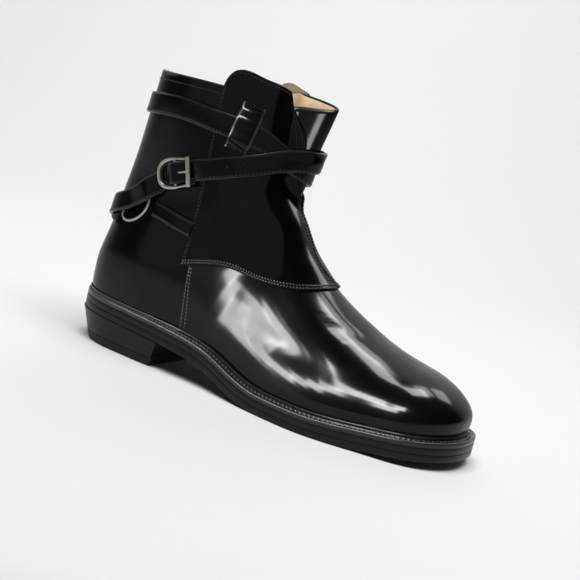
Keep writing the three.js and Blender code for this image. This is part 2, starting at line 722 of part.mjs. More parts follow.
const keeperRoute = [
  { turn: -37, at: 0.962, lift: snug },
  { turn: -37.6, at: 0.935, lift: snug + 0.1 },
  { turn: -38.4, at: 0.905, lift: crossing + 0.2 },
  { turn: -40, at: 0.85, lift: crossing + 0.6 },
  { turn: -41.6, at: 0.797, lift: crossing + 0.6 },
  { turn: -42.4, at: 0.784, lift: snug + 0.6 },
  { turn: -43, at: 0.766, lift: snug },
].map((row, i) => ({ ...row, run: [0, 4, 9, 18, 27, 32, 37][i] }));

// Buckle: its own axes at the centre pin, along the strap, across it and off the boot
const buckleTurn = -93.4;
const buckleLevel = 0.61;
const buckleTilt = 19;
const buckleAxes = (() => {
  const z = shaftLevel(buckleLevel);
  const origin = onShaft(buckleTurn, z, 0);
  const out = rim(buckleTurn + 22, z).sub(rim(buckleTurn - 22, z)).cross(new THREE.Vector3(0, 0, 1));
  out.normalize();
  const level = new THREE.Vector3(0, 0, 1).cross(out).normalize();
  const tilt = THREE.MathUtils.degToRad(buckleTilt);
  const along = level.clone().multiplyScalar(Math.cos(tilt)).add(new THREE.Vector3(0, 0, Math.sin(tilt)));
  const across = out.clone().cross(along);
  return { origin, along, across, out };
})();
const onBuckle = (u, w, n) => {
  const { origin, along, across, out } = buckleAxes;
  return origin.clone().addScaledVector(along, u).addScaledVector(across, w).addScaledVector(out, n);
};
const frameLevel = (u) => 5.5 - 0.08 * u;

// A round wire along points, with its own radius at each
function wire(points, radii, sides, closed) {
  const n = points.length;
  const hint = buckleAxes.out;
  const rings = points.map((p, i) => {
    const before = points[closed ? (i + n - 1) % n : Math.max(i - 1, 0)];
    const after = points[closed ? (i + 1) % n : Math.min(i + 1, n - 1)];
    const along = after.clone().sub(before).normalize();
    const a = hint.clone().cross(along).normalize();
    const b = along.clone().cross(a);
    return Array.from({ length: sides }, (_, k) => {
      const turn = (2 * Math.PI * k) / sides;
      const q = p.clone().addScaledVector(a, radii[i] * Math.cos(turn));
      return q.addScaledVector(b, radii[i] * Math.sin(turn)).toArray();
    });
  });
  return body(rings, { loop: closed });
}
function buckleFrame() {
  const half = buckleHeight / 2 - buckleWire / 2;
  const points = [];
  const radii = [];
  const add = (u, w, r) => {
    points.push(onBuckle(u, w, frameLevel(u)));
    radii.push(r);
  };
  const arcEnd = buckleReach - buckleWire / 2;
  for (let i = 0; i <= 14; i++) {
    const turn = Math.PI * (0.5 + i / 14);
    const along = Math.abs(Math.cos(turn)) ** (2 / 2.8);
    const side = Math.sign(Math.sin(turn)) * Math.abs(Math.sin(turn)) ** (2 / 2.8);
    add(-arcEnd * along, half * side, buckleWire / 2);
  }
  for (const u of [0.35, 0.7, 1]) add(u * barReach, -half * (1 - 0.08 * u), sideWire / 2);
  for (const u of [1, 0.7, 0.35]) add(u * barReach, half * (1 - 0.08 * u), sideWire / 2);
  const flat = new THREE.BoxGeometry(3.4, buckleHeight - 1.4, 1.8);
  const { along, across, out } = buckleAxes;
  const place = new THREE.Matrix4().makeBasis(along, across, out);
  place.setPosition(onBuckle(barReach, 0, frameLevel(barReach)));
  flat.applyMatrix4(place);
  const pinLevel = frameLevel(0) - 0.15;
  const pinPoints = [-half, 0, half].map((w) => onBuckle(0, w, pinLevel));
  const pin = wireAcross(pinPoints, pinWire / 2);
  return fromSolid(toSolid(wire(points, radii, 8, true)).add(toSolid(flat)).add(toSolid(pin)));
}
const wireAcross = (points, radius) => wire(points, points.map(() => radius), 8, false);
const prongRows = [
  { along: 1.75, off: 5.5 },
  { along: 3, off: 6.4 },
  { along: 5.5, off: 6.7 },
  { along: 8, off: 6.8 },
  { along: 11.6, off: 6.8 },
];
function buckleProng() {
  return wireAcross(prongRows.map((row) => onBuckle(row.along, 0, row.off)), prongWire / 2);
}
// The slot in the strap that the prong comes through
function prongSlot() {
  const half = prongWire / 2 + 0.5;
  const shape = new THREE.Shape();
  shape.absarc(half, 0, half, Math.PI / 2, (3 * Math.PI) / 2, false);
  shape.absarc(5, 0, half, -Math.PI / 2, Math.PI / 2, false);
  const geometry = new THREE.ExtrudeGeometry(shape, { depth: 12, bevelEnabled: false, curveSegments: 4 });
  const { along, across, out } = buckleAxes;
  const place = new THREE.Matrix4().makeBasis(along, across, out);
  place.setPosition(onBuckle(0, 0, 0.5));
  return geometry.applyMatrix4(place);
}
function strap() {
  const whole = strip(strapRoute, strapWidth, strapThickness, 6, 3);
  return fromSolid(toSolid(whole).subtract(toSolid(prongSlot())));
}
const keeper = () => strip(keeperRoute, keeperWidth, keeperThickness, 2.5, 4);

// Side ring, lying flat under the strap, and the two tabs that hold it
const ringTurn = -137;
const ringLevel = 0.422;
const ringTilt = 52;
function sideRing() {
  const z = shaftLevel(ringLevel);
  const tilt = THREE.MathUtils.degToRad(ringTilt);
  const degree = perDegree(ringTurn, z);
  const points = Array.from({ length: 28 }, (_, i) => {
    const angle = (2 * Math.PI * i) / 28;
    const a = (ringLength / 2) * Math.cos(angle);
    const b = (ringWidth / 2) * Math.sin(angle);
    const round = a * Math.cos(tilt) + b * Math.sin(tilt);
    const up = a * Math.sin(tilt) - b * Math.cos(tilt);
    const turn = ringTurn + round / degree;
    return onShaft(turn, z + up, snug + ringWire / 2);
  });
  return wire(points, points.map(() => ringWire / 2), 6, true);
}
const frontTabRoute = [
  { turn: -116, at: 0.438, lift: snug },
  { turn: -100, at: 0.429, lift: snug },
  { turn: -79, at: 0.414, lift: snug },
];
const backTabRoute = [
  { turn: -161, at: 0.362, lift: snug },
  { turn: -155, at: 0.356, lift: snug },
  { turn: -150.5, at: 0.352, lift: snug },
];
const tab = (route) => strip(route, tabWidth, tabThickness, 4.5, 3);

const leather = { color: 0x141211, roughness: 0.25, metalness: 0 };
const soleLeather = { color: 0x1b1b1d, roughness: 0.45, metalness: 0 };
const rubber = { color: 0x161617, roughness: 0.7, metalness: 0 };
const lining = { color: 0xb9986a, roughness: 0.8, metalness: 0 };
const nickel = { color: 0xb8ada0, roughness: 0.25, metalness: 1 };

const boot = new THREE.Group();
function addPart(name, geometry, finish) {
  const flat = geometry.toNonIndexed();
  flat.computeVertexNormals();
  const mesh = new THREE.Mesh(flat, new THREE.MeshStandardMaterial(finish));
  mesh.name = name;
  boot.add(mesh);
}
addPart("outsole", outsole(), soleLeather);
addPart("midsole", midsole(), soleLeather);
addPart("welt", welt(), soleLeather);
addPart("heel_block", heelBlock(), soleLeather);
addPart("top_lift", topLift(), rubber);
addPart("insole", insole(), lining);
addPart("upper", upper(), leather);
addPart("front_flap", panel(-1), leather);
addPart("inner_panel", panel(1), leather);
addPart("strap", strap(), leather);
addPart("keeper_loop", keeper(), leather);
addPart("buckle_frame", buckleFrame(), nickel);
addPart("buckle_prong", buckleProng(), nickel);
addPart("side_ring", sideRing(), nickel);
addPart("ring_tab", tab(frontTabRoute), leather);
addPart("ring_tab_back", tab(backTabRoute), leather);

// The origin is on the floor, under the middle of the whole boot
const extent = new THREE.Box3().setFromObject(boot);
const middle = extent.getCenter(new THREE.Vector3());
boot.position.set(-middle.x, -middle.y, 0);

export default boot;
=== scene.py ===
# A right ankle boot with a wrap strap, in black polished leather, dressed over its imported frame.
# Forms are worked out in millimetres from the boot's own sizes, heel at x = 0 and toe at x = length,
# and go into the frame in metres.
import math

import bmesh
import bpy
import numpy as np
from mathutils import Matrix, Vector


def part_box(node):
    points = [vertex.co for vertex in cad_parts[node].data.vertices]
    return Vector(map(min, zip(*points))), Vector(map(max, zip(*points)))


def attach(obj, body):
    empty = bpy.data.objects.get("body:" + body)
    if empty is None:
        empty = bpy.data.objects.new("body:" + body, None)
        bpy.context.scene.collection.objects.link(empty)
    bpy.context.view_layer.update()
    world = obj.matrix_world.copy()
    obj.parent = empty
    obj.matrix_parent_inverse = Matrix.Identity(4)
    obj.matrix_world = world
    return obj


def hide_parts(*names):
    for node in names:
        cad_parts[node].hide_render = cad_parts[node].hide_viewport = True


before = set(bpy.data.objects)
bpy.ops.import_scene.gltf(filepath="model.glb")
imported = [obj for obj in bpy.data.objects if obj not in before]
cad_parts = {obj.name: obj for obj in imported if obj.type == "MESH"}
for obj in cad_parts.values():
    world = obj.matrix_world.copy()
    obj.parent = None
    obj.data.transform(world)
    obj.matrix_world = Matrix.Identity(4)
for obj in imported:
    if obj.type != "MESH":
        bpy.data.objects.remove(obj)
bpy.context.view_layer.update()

boot = {
    "length": 286,
    "ballWidth": 97,
    "instepHeight": 96,
    "shaftHeight": 161.6,
    "shaftDepth": 120,
    "shaftWidth": 66,
    "wall": 2.4,
    "panel": 1.7,
    "clearance": 0.3,
    "heelRound": 0.129,
    "toeRound": 0.138,
    "roundPower": 2.3,
    "edgeHeight": 9,
    "edgeTuck": 1.5,
    "shaftPower": 2.35,
    "ankleBlend": 12,
    "seamAt": 0.276,
}
sole = {
    "heelHeight": 21,
    "outsole": 5,
    "midsole": 4.3,
    "welt": 3.2,
    "lip": 2.6,
    "toeSpring": 6,
    "margin": 7.5,
    "heelMargin": 2.3,
    "lift": 6,
    "heelLength": 74,
    "rake": 7,
    "taper": 2,
    "ledge": 0.6,
    "breastLean": 3,
    "insole": 2.4,
    "inset": 6.5,
}
gusset = {"length": 34, "half": 9, "side": 5, "crease": 5}


def table(names, rows):
    return dict(zip(names.split(), np.array(rows, float).T))


# A natural cubic curve through a table's points, held level beyond its ends
def curve(xs, ys):
    xs, ys = np.array(xs, float), np.array(ys, float)
    n, step = len(xs), np.diff(xs)
    matrix, pull = np.eye(n), np.zeros(n)
    for i in range(1, n - 1):
        matrix[i, i - 1 : i + 2] = step[i - 1], 2 * (step[i - 1] + step[i]), step[i]
        pull[i] = 6 * ((ys[i + 1] - ys[i]) / step[i] - (ys[i] - ys[i - 1]) / step[i - 1])
    bend = np.linalg.solve(matrix, pull)

    def at(x):
        x = np.clip(x, xs[0], xs[-1])
        i = np.clip(np.searchsorted(xs, x, side="right") - 1, 0, n - 2)
        a = (xs[i + 1] - x) / step[i]
        b = 1 - a
        cubic = (a**3 - a) * bend[i] + (b**3 - b) * bend[i + 1]
        return a * ys[i] + b * ys[i + 1] + cubic * step[i] ** 2 / 6

    return at


def smooth(a, b, x):
    t = np.clip((x - a) / (b - a), 0, 1)
    return t * t * (3 - 2 * t)


def lerp(a, b, t):
    return a + (b - a) * t


# The sole line, as shares of the heel's height and the toe spring
soleRows = table(
    "at heel spring",
    [
        (-0.1, 1.02, 0), (0, 1, 0), (0.22, 0.885, 0), (0.3, 0.81, 0), (0.42, 0.525, 0), (0.54, 0.06, 0),
        (0.62, -0.012, 0), (0.72, -0.012, 0), (0.86, 0, 0.35), (1, 0, 1), (1.1, 0, 1.4),
    ],
)
heelShare = curve(soleRows["at"], soleRows["heel"])
springShare = curve(soleRows["at"], soleRows["spring"])
stack = sole["outsole"] + sole["midsole"] + sole["welt"]


def soleLine(x):
    at = x / boot["length"]
    return stack + sole["heelHeight"] * heelShare(at) + sole["toeSpring"] * springShare(at)


seat = float(soleLine(0))


def shaftLevel(share):
    return seat + share * boot["shaftHeight"]


# Foot sections: half widths, sideways shift and ridge lean as shares of the ball width
footRows = table(
    "at outer inner shift top lean",
    [
        (0, 0.31, 0.31, 0, 0.69, 0), (0.1, 0.327, 0.325, 0, 0.745, 0), (0.2, 0.344, 0.32, 0, 0.8, 0),
        (0.3, 0.345, 0.285, 0, 0.895, 0.01), (0.4, 0.358, 0.26, 0, 0.97, 0.03),
        (0.5, 0.419, 0.3, 0, 0.982, 0.05), (0.6, 0.483, 0.385, 0.01, 0.77, 0.06),
        (0.7, 0.515, 0.46, 0.019, 0.587, 0.06), (0.78, 0.492, 0.48, 0.04, 0.47, 0.05),
        (0.86, 0.451, 0.465, 0.062, 0.39, 0.04), (0.93, 0.421, 0.432, 0.065, 0.336, 0.02),
        (1, 0.395, 0.403, 0.088, 0.268, 0),
    ],
)
foot = {name: curve(footRows["at"], footRows[name]) for name in footRows}

# Shaft sections: back and front as shares of the shaft's depth, half widths of its width
shaftRows = table(
    "at back front outer inner",
    [
        (0, 0, 1.1, 0.47, 0.47), (0.077, 0, 1.067, 0.5, 0.485), (0.164, 0, 1.042, 0.515, 0.5),
        (0.288, 0.016, 1.038, 0.5, 0.485), (0.412, 0.019, 1.093, 0.485, 0.47),
        (0.535, 0.042, 1.109, 0.485, 0.47), (0.659, 0.07, 1.026, 0.5, 0.485),
        (0.783, 0.088, 0.994, 0.515, 0.5), (0.907, 0.106, 0.978, 0.53, 0.515),
        (1.03, 0.12, 0.978, 0.538, 0.523),
    ],
)
shaft = {name: curve(shaftRows["at"], shaftRows[name]) for name in shaftRows}
shaftAxis = 0.525 * boot["shaftDepth"]

# The folded gusset at the front: how far its tip reaches, as shares of the shaft's depth
gussetRows = table("at tip", [(0.41, 1.017), (0.628, 1.117), (0.814, 1.158), (1.018, 1.213), (1.123, 1.233)])
gussetTip = curve(gussetRows["at"], gussetRows["tip"])


def heightShare(z):
    return (z - seat) / boot["shaftHeight"]


def blend(a, b, radius):
    h = np.clip(0.5 + 0.5 * (b - a) / radius, 0, 1)
    return b * (1 - h) + a * h - radius * h * (1 - h)


# Each form is negative inside, zero on its surface and about the distance outside
def footForm(x, y, z):
    length, width, power = boot["length"], boot["ballWidth"], boot["roundPower"]
    back = boot["shaftDepth"] * shaft["back"](heightShare(z))
    t = (x - back) / (length - back)
    s = np.clip(t, 0, 1)
    half = (foot["outer"](s) + foot["inner"](s)) * width / 2
    low = soleLine(x) + boot["edgeHeight"]
    top = soleLine(x) + boot["instepHeight"] * foot["top"](x / length)
    up = np.maximum((z - low) / (top - low), 0)
    middle = foot["shift"](s) + (foot["inner"](s) - foot["outer"](s)) / 2
    middle = middle + foot["lean"](s) * np.minimum(up, 1)
    end = np.maximum((boot["heelRound"] - t) / boot["heelRound"], 0)
    end = end + np.maximum((t - 1 + boot["toeRound"]) / boot["toeRound"], 0)
    side = np.abs(y - middle * width) / half
    reach = (side**power + up**power + end**power) ** (1 / power)
    under = np.clip((low - z) / boot["edgeHeight"], 0, 2)
    return (reach - 1) * half + boot["edgeTuck"] * under**2


def shaftForm(x, y, z):
    at, power = heightShare(z), boot["shaftPower"]
    back = boot["shaftDepth"] * shaft["back"](at)
    front = boot["shaftDepth"] * shaft["front"](at)
    half = boot["shaftWidth"] * np.where(y < 0, shaft["outer"](at), shaft["inner"](at))
    along = np.abs(x - (back + front) / 2) / ((front - back) / 2)
    return ((along**power + (np.abs(y) / half) ** power) ** (1 / power) - 1) * half


def gussetForm(x, y, z):
    along = x - boot["shaftDepth"] * gussetTip(heightShare(z)) + gusset["length"]
    across = y - gusset["side"]
    reach = np.hypot(along / gusset["length"], across / gusset["half"])
    slope = np.hypot(along / gusset["length"] ** 2, across / gusset["half"] ** 2) + 1e-9
    return reach * (reach - 1) / slope


def upperForm(x, y, z):
    whole = blend(footForm(x, y, z), shaftForm(x, y, z), boot["ankleBlend"])
    return blend(whole, gussetForm(x, y, z), gusset["crease"])


def outwardsAt(points, reach=0.4):
    x, y, z = np.moveaxis(points, -1, 0)
    slopes = [
        upperForm(x + reach, y, z) - upperForm(x - reach, y, z),
        upperForm(x, y + reach, z) - upperForm(x, y - reach, z),
        upperForm(x, y, z + reach) - upperForm(x, y, z - reach),
    ]
    way = np.stack(slopes, -1)
    return way / np.linalg.norm(way, axis=-1, keepdims=True)


# Where rays meet the level surface of the upper, by halving
def hit(pointAt, shape, level, far):
    near, past = np.full(shape, 2.0), np.full(shape, float(far))
    for _ in range(24):
        middle = (near + past) / 2
        within = upperForm(*pointAt(middle)) < level
        near, past = np.where(within, middle, near), np.where(within, past, middle)
    return np.stack(pointAt((near + past) / 2), -1)


# Rings round the upper, from the feather line (at 0) to the collar (at 1)
rowRows = table(
    "back reach front",
    [
        (0, 1, 0), (0.048, 0.993, 0.081), (0.098, 0.916, 0.156), (0.152, 0.808, 0.202),
        (0.209, 0.717, 0.26), (0.269, 0.643, 0.324), (0.335, 0.58, 0.405), (0.41, 0.531, 0.486),
        (0.496, 0.49, 0.578), (0.597, 0.458, 0.67), (0.716, 0.441, 0.775), (0.855, 0.43, 0.89),
        (1, 0.423, 1), (1.14, 0.423, 1.14),
    ],
)
ringAt = np.arange(14) / 12
ringRow = {name: curve(ringAt, rowRows[name]) for name in rowRows}
collarRows = table(
    "turn rise",
    [
        (-180, 0), (-90, 0), (-70, 0), (-50, 0), (-35, -0.5), (-5, -3), (4, 3.5), (40, 6), (70, 2),
        (100, -1.5), (180, 0),
    ],
)
collarRise = curve(collarRows["turn"], collarRows["rise"])
followSole = 0.3  # share of the way up over which rings keep the sole's line


def ringPoints(at, angle, level=0.0):
    at, angle = np.broadcast_arrays(np.asarray(at, float), np.asarray(angle, float))
    toeLevel = float(soleLine(boot["length"]))
    reach = boot["length"] * ringRow["reach"](at)
    back = seat + boot["shaftHeight"] * ringRow["back"](at)
    front = toeLevel + (shaftLevel(1) - toeLevel) * ringRow["front"](at)
    follow = np.maximum(1 - at / followSole, 0) ** 1.5
    wayX, wayY = np.cos(angle) * reach / boot["ballWidth"], -np.sin(angle)
    size = np.hypot(wayX, wayY)
    wayX, wayY = wayX / size, wayY / size
    lift = smooth(0.8, 1, at) * collarRise(np.degrees(np.arctan2(wayY, wayX)))

    def pointAt(distance):
        x = reach / 2 + distance * wayX
        sag = soleLine(x) - lerp(seat, toeLevel, x / boot["length"])
        z = back + (front - back) * x / reach + follow * sag + lift + boot["clearance"]
        return x, distance * wayY, z

    return hit(pointAt, at.shape, level, boot["length"])


# Rays straight out from the shaft's axis
def shaftPoints(turn, z, level):
    turn, z = np.broadcast_arrays(np.radians(turn), np.asarray(z, float))

    def pointAt(distance):
        return shaftAxis + distance * np.cos(turn), distance * np.sin(turn), z

    return hit(pointAt, turn.shape, level, 150)


def halve(low, high, tooFar, steps=26):
    low, high = np.array(low, float), np.array(high, float)
    for _ in range(steps):
        middle = (low + high) / 2
        past = tooFar(middle)
        low, high = np.where(past, low, middle), np.where(past, middle, high)
    return (low + high) / 2


# The frame's origin lies under the middle of the sole's outline
cadColumns = 48
columnCluster = 0.42


def featherLine(angle):
    return ringPoints(np.zeros(len(angle)), angle)[:, :2]


def pushed(ring, distance):
    way = np.roll(ring, -1, 0) - np.roll(ring, 1, 0)
    way = np.stack([way[:, 1], -way[:, 0]], -1) / np.linalg.norm(way, axis=1)[:, None]
    return ring + way * distance[:, None]


def sideMargin(x):
    return lerp(sole["heelMargin"], sole["margin"], smooth(0.12, 0.47, x / boot["length"]))


# The way from a ring's middle to the gusset's tip
def tipAngle():
    reach = boot["length"] * float(ringRow["reach"](1)) / 2
    ahead = boot["shaftDepth"] * float(gussetTip(1)) - reach
    return math.atan2(-gusset["side"] * 2 * reach / boot["ballWidth"], ahead)


def originShift():
    turn = 2 * np.pi * (cadColumns / 2 - np.arange(cadColumns)) / cadColumns
    ring = featherLine(tipAngle() + turn - columnCluster * np.sin(turn))
    edge = pushed(ring, sideMargin(ring[:, 0]))
    low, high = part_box("midsole")
    centre = (edge.min(0) + edge.max(0)) / 2
    return np.array([centre[0] - 500 * (low.x + high.x), centre[1] - 500 * (low.y + high.y), 0])


shift = originShift()
print("origin shift", shift.round(3))


def toFrame(points):
    return (np.asarray(points, float).reshape(-1, 3) - shift) / 1000


# Gathers points and faces of one mesh; a sheet is a grid of points
class Shape:
    def __init__(self):
        self.points, self.faces, self.slots = [], [], []
        self.count = 0

    def add(self, points, faces, slot=0):
        self.points.append(np.asarray(points, float).reshape(-1, 3))
        self.faces.append(np.asarray(faces) + self.count)
        self.slots.append(np.full(len(faces), slot))
        self.count += len(self.points[-1])

    def sheet(self, grid, slot=0, closedRows=False, closedColumns=False):
        rows, columns = grid.shape[:2]
        i = np.arange(rows if closedRows else rows - 1)[:, None]
        j = np.arange(columns if closedColumns else columns - 1)[None, :]
        down, right = (i + 1) % rows, (j + 1) % columns
        corners = [i * columns + j, i * columns + right, down * columns + right, down * columns + j]
        faces = np.stack(np.broadcast_arrays(*corners), -1).reshape(-1, 4)
        self.add(grid, faces, slot)

    # Two faces, the far one turned over, and the edges all round
    def slab(self, outer, inner, underSlot):
        self.sheet(outer, 0)
        self.sheet(inner[::-1], underSlot)
        ends = [(outer[0], inner[0]), (inner[-1], outer[-1])]
        sides = [(inner[:, 0], outer[:, 0]), (outer[:, -1], inner[:, -1])]
        for a, b in ends + sides:
            self.sheet(np.stack([a, b]), 1)

    def cap(self, ring, slot=0):
        ring = np.asarray(ring)
        n = len(ring)
        fan = [(i, (i + 1) % n, n) for i in range(n)]
        self.add(np.vstack([ring, ring.mean(0)]), fan, slot)

    def build(self, name, finishes, weld=0.0, sharp=50):
        points = toFrame(np.vstack(self.points))
        faces = [face for group in self.faces for face in group.tolist()]
        mesh = bpy.data.meshes.new(name)
        mesh.from_pydata(points.tolist(), [], faces)
        mesh.polygons.foreach_set("material_index", np.concatenate(self.slots).astype(np.int32))
        work = bmesh.new()
        work.from_mesh(mesh)
        if weld:
            bmesh.ops.remove_doubles(work, verts=work.verts, dist=weld / 1000)
            bmesh.ops.dissolve_degenerate(work, edges=work.edges, dist=1e-7)
        bmesh.ops.recalc_face_normals(work, faces=work.faces)
        work.to_mesh(mesh)
        work.free()
        mesh.polygons.foreach_set("use_smooth", np.ones(len(mesh.polygons), bool))
        mesh.set_sharp_from_angle(angle=math.radians(sharp))
        piece = bpy.data.objects.new(name, mesh)
        bpy.context.scene.collection.objects.link(piece)
        for finish in finishes:
            mesh.materials.append(finish)
        return piece


def place(piece, slot, *nodes):
    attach(piece, "root")
    if nodes:
        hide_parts(*nodes)
    return piece


# Positions along an edge-dense run: close at both ends, even between. Values are shares 0 to 1
def denseRun(length, count, close=(0.15, 0.4, 0.8, 1.4, 2.4)):
    ends = np.array(close) / length
    inner = np.linspace(ends[-1], 1 - ends[-1], count)[1:-1]
    return np.concatenate([[0], ends, inner, 1 - ends[::-1], [1]])


# One socket of a material, with sums and products that add their Math nodes
class Value:
    def __init__(self, finish, socket):
        self.finish, self.socket = finish, socket

    def math(self, operation, *others, first=None):
        values = [self if first is None else first, *others]
        return self.finish.node("ShaderNodeMath", {"operation": operation}, dict(enumerate(values)))

    def __add__(self, other):
        return self.math("ADD", other)

    def __sub__(self, other):
        return self.math("SUBTRACT", other)

    def __rsub__(self, other):
        return self.math("SUBTRACT", self, first=other)

    def __mul__(self, other):
        return self.math("MULTIPLY", other)

    __radd__, __rmul__ = __add__, __mul__


class Finish:
    def __init__(self, name, **constants):
        self.material = bpy.data.materials.new(name)
        self.material.use_nodes = True
        self.tree = self.material.node_tree
        self.tree.nodes.clear()
        self.shader = self.tree.nodes.new("ShaderNodeBsdfPrincipled")
        output = self.tree.nodes.new("ShaderNodeOutputMaterial")
        self.tree.links.new(self.shader.outputs[0], output.inputs[0])
        self.place = self.node("ShaderNodeTexCoord", out="Object")
        for socket, value in constants.items():
            self.shader.inputs[socket.replace("_", " ")].default_value = value

    def node(self, kind, settings=None, values=None, out=0):
        node = self.tree.nodes.new(kind)
        for name, setting in (settings or {}).items():
            setattr(node, name, setting)
        for name, value in (values or {}).items():
            if isinstance(value, Value):
                self.tree.links.new(value.socket, node.inputs[name])
            else:
                node.inputs[name].default_value = value
        return Value(self, node.outputs[out])

    def drive(self, socket, value):
        self.tree.links.new(value.socket, self.shader.inputs[socket])

    # Noise by size in millimetres, stretched along an axis where asked
    def noise(self, size, detail=2.0, rough=0.5, stretch=(1, 1, 1), seed=0.0):
        scale = [1000 / (size * s) for s in stretch]
        values = {"Vector": self.place, "Scale": scale, "Location": (seed, seed, 0)}
        where = self.node("ShaderNodeMapping", None, values)
        values = {"Vector": where, "Scale": 1, "Detail": detail, "Roughness": rough}
        return self.node("ShaderNodeTexNoise", None, values)

    def cells(self, size):
        return self.node("ShaderNodeTexVoronoi", None, {"Vector": self.place, "Scale": 1000 / size})

    def spread(self, value, low, high):
        values = {"Value": value, "From Min": low, "From Max": high}
        return self.node("ShaderNodeMapRange", {"clamp": True}, values)

    def mix(self, factor, a, b):
        values = {"Factor": factor, 6: a, 7: b}
        return self.node("ShaderNodeMix", {"data_type": "RGBA"}, values, out=2)

    def bump(self, height, depth, below=None):
        values = {"Height": height, "Strength": 1.0, "Distance": depth / 1000}
        if below is not None:
            values["Normal"] = below
        return self.node("ShaderNodeBump", None, values)


# Black calf, brushed to a high gloss: fine grain, slow waves, a few hairline scuffs and dust
leatherLook = {
    "colour": (0.0009, 0.0009, 0.001, 1),
    "dulled": (0.0024, 0.0023, 0.0024, 1),
    "gloss": 0.24,
    "grain": 0.55,
    "grainDepth": 0.012,
    "wave": 26,
    "waveDepth": 0.05,
}


def polishedLeather(name, look=leatherLook, coat=0.44, coatRoughness=0.13):
    finish = Finish(name, Specular_IOR_Level=0.015, Coat_Roughness=coatRoughness, Coat_IOR=1.5)
    cloud = finish.noise(28, 3, 0.55)
    grain = finish.cells(look["grain"])
    pores = finish.noise(look["grain"] * 0.7, 3, 0.6, seed=0.2)
    wave = finish.noise(look["wave"], 1.5, 0.4, seed=0.7)
    hair = finish.noise(1.6, 2, 0.6, stretch=(9, 1, 5), seed=1.3)
    scuff = finish.spread(hair, 0.71, 0.77) * finish.spread(finish.noise(15, 2, 0.5, seed=2.1), 0.5, 0.66)
    dull = finish.spread(cloud, 0.42, 0.78)
    finish.drive("Base Color", finish.mix(dull * 0.6 + scuff * 0.5, look["colour"], look["dulled"]))
    finish.drive("Roughness", dull * 0.12 + pores * 0.06 + scuff * 0.2 + look["gloss"])
    finish.drive("Coat Weight", coat - dull * 0.14 - scuff * 0.3)
    fine = finish.bump(grain * 0.5 + pores * 0.8, look["grainDepth"])
    slow = finish.bump(wave, look["waveDepth"], fine)
    scored = finish.bump(scuff, -0.015, slow)
    finish.drive("Normal", scored)
    return finish.material


def plainFinish(
    name, colour, other, roughness, size, depth, coat=0.0, metallic=0.0, stretch=(1, 1, 1), shine=0.5
):
    finish = Finish(name, Metallic=metallic, Coat_Roughness=0.2, Specular_IOR_Level=shine)
    patch = finish.noise(size * 9, 3, 0.6)
    fine = finish.noise(size, 4, 0.65, stretch=stretch, seed=0.4)
    finish.drive("Base Color", finish.mix(finish.spread(patch, 0.35, 0.7), colour, other))
    finish.drive("Roughness", fine * 0.16 + patch * 0.1 + (roughness - 0.13))
    if coat:
        finish.drive("Coat Weight", coat - patch * 0.3 * coat)
    finish.drive("Normal", finish.bump(fine, depth))
    return finish.material


upperLeather = polishedLeather("polished_calf")
strapLook = dict(leatherLook, gloss=0.27, grain=0.45, grainDepth=0.014, wave=24, waveDepth=0.05)
strapLeather = polishedLeather("strap_leather", strapLook, coat=0.42, coatRoughness=0.13)
edgePaint = plainFinish(
    "painted_edge", (0.004, 0.004, 0.004, 1), (0.008, 0.0078, 0.0078, 1),
    0.36, 0.5, 0.03, coat=0.4, shine=0.25,
)
liningLeather = plainFinish(
    "tan_lining", (0.66, 0.5, 0.32, 1), (0.57, 0.42, 0.25, 1),
    0.7, 0.6, 0.05,
)
nickel = plainFinish(
    "warm_nickel", (0.5, 0.455, 0.395, 1), (0.4, 0.36, 0.31, 1),
    0.34, 0.5, 0.008, metallic=1.0,
)
threadLook = plainFinish(
    "waxed_thread", (0.008, 0.0078, 0.0078, 1), (0.016, 0.0155, 0.0155, 1),
    0.4, 0.25, 0.03, coat=0.3, shine=0.3,
)
weltEdge = plainFinish(
    "welt_leather", (0.005, 0.0048, 0.005, 1), (0.01, 0.0095, 0.01, 1),
    0.34, 0.6, 0.04, coat=0.28, shine=0.15,
)
soleEdge = plainFinish(
    "sole_edge", (0.0075, 0.007, 0.0078, 1), (0.013, 0.0125, 0.0135, 1),
    0.4, 0.4, 0.03, coat=0.14, stretch=(12, 12, 1), shine=0.15,
)
# Matte black for the floor of punched holes: painted shade for the hole's depth over the black leather
# beneath
holeShade = plainFinish(
    "hole_shade", (0.003, 0.003, 0.003, 1), (0.005, 0.005, 0.005, 1),
    0.8, 0.3, 0.02,
)
rubberLift = plainFinish(
    "rubber_lift", (0.01, 0.01, 0.0105, 1), (0.016, 0.016, 0.0165, 1),
    0.55, 0.5, 0.05, shine=0.2,
)
print("finishes made")
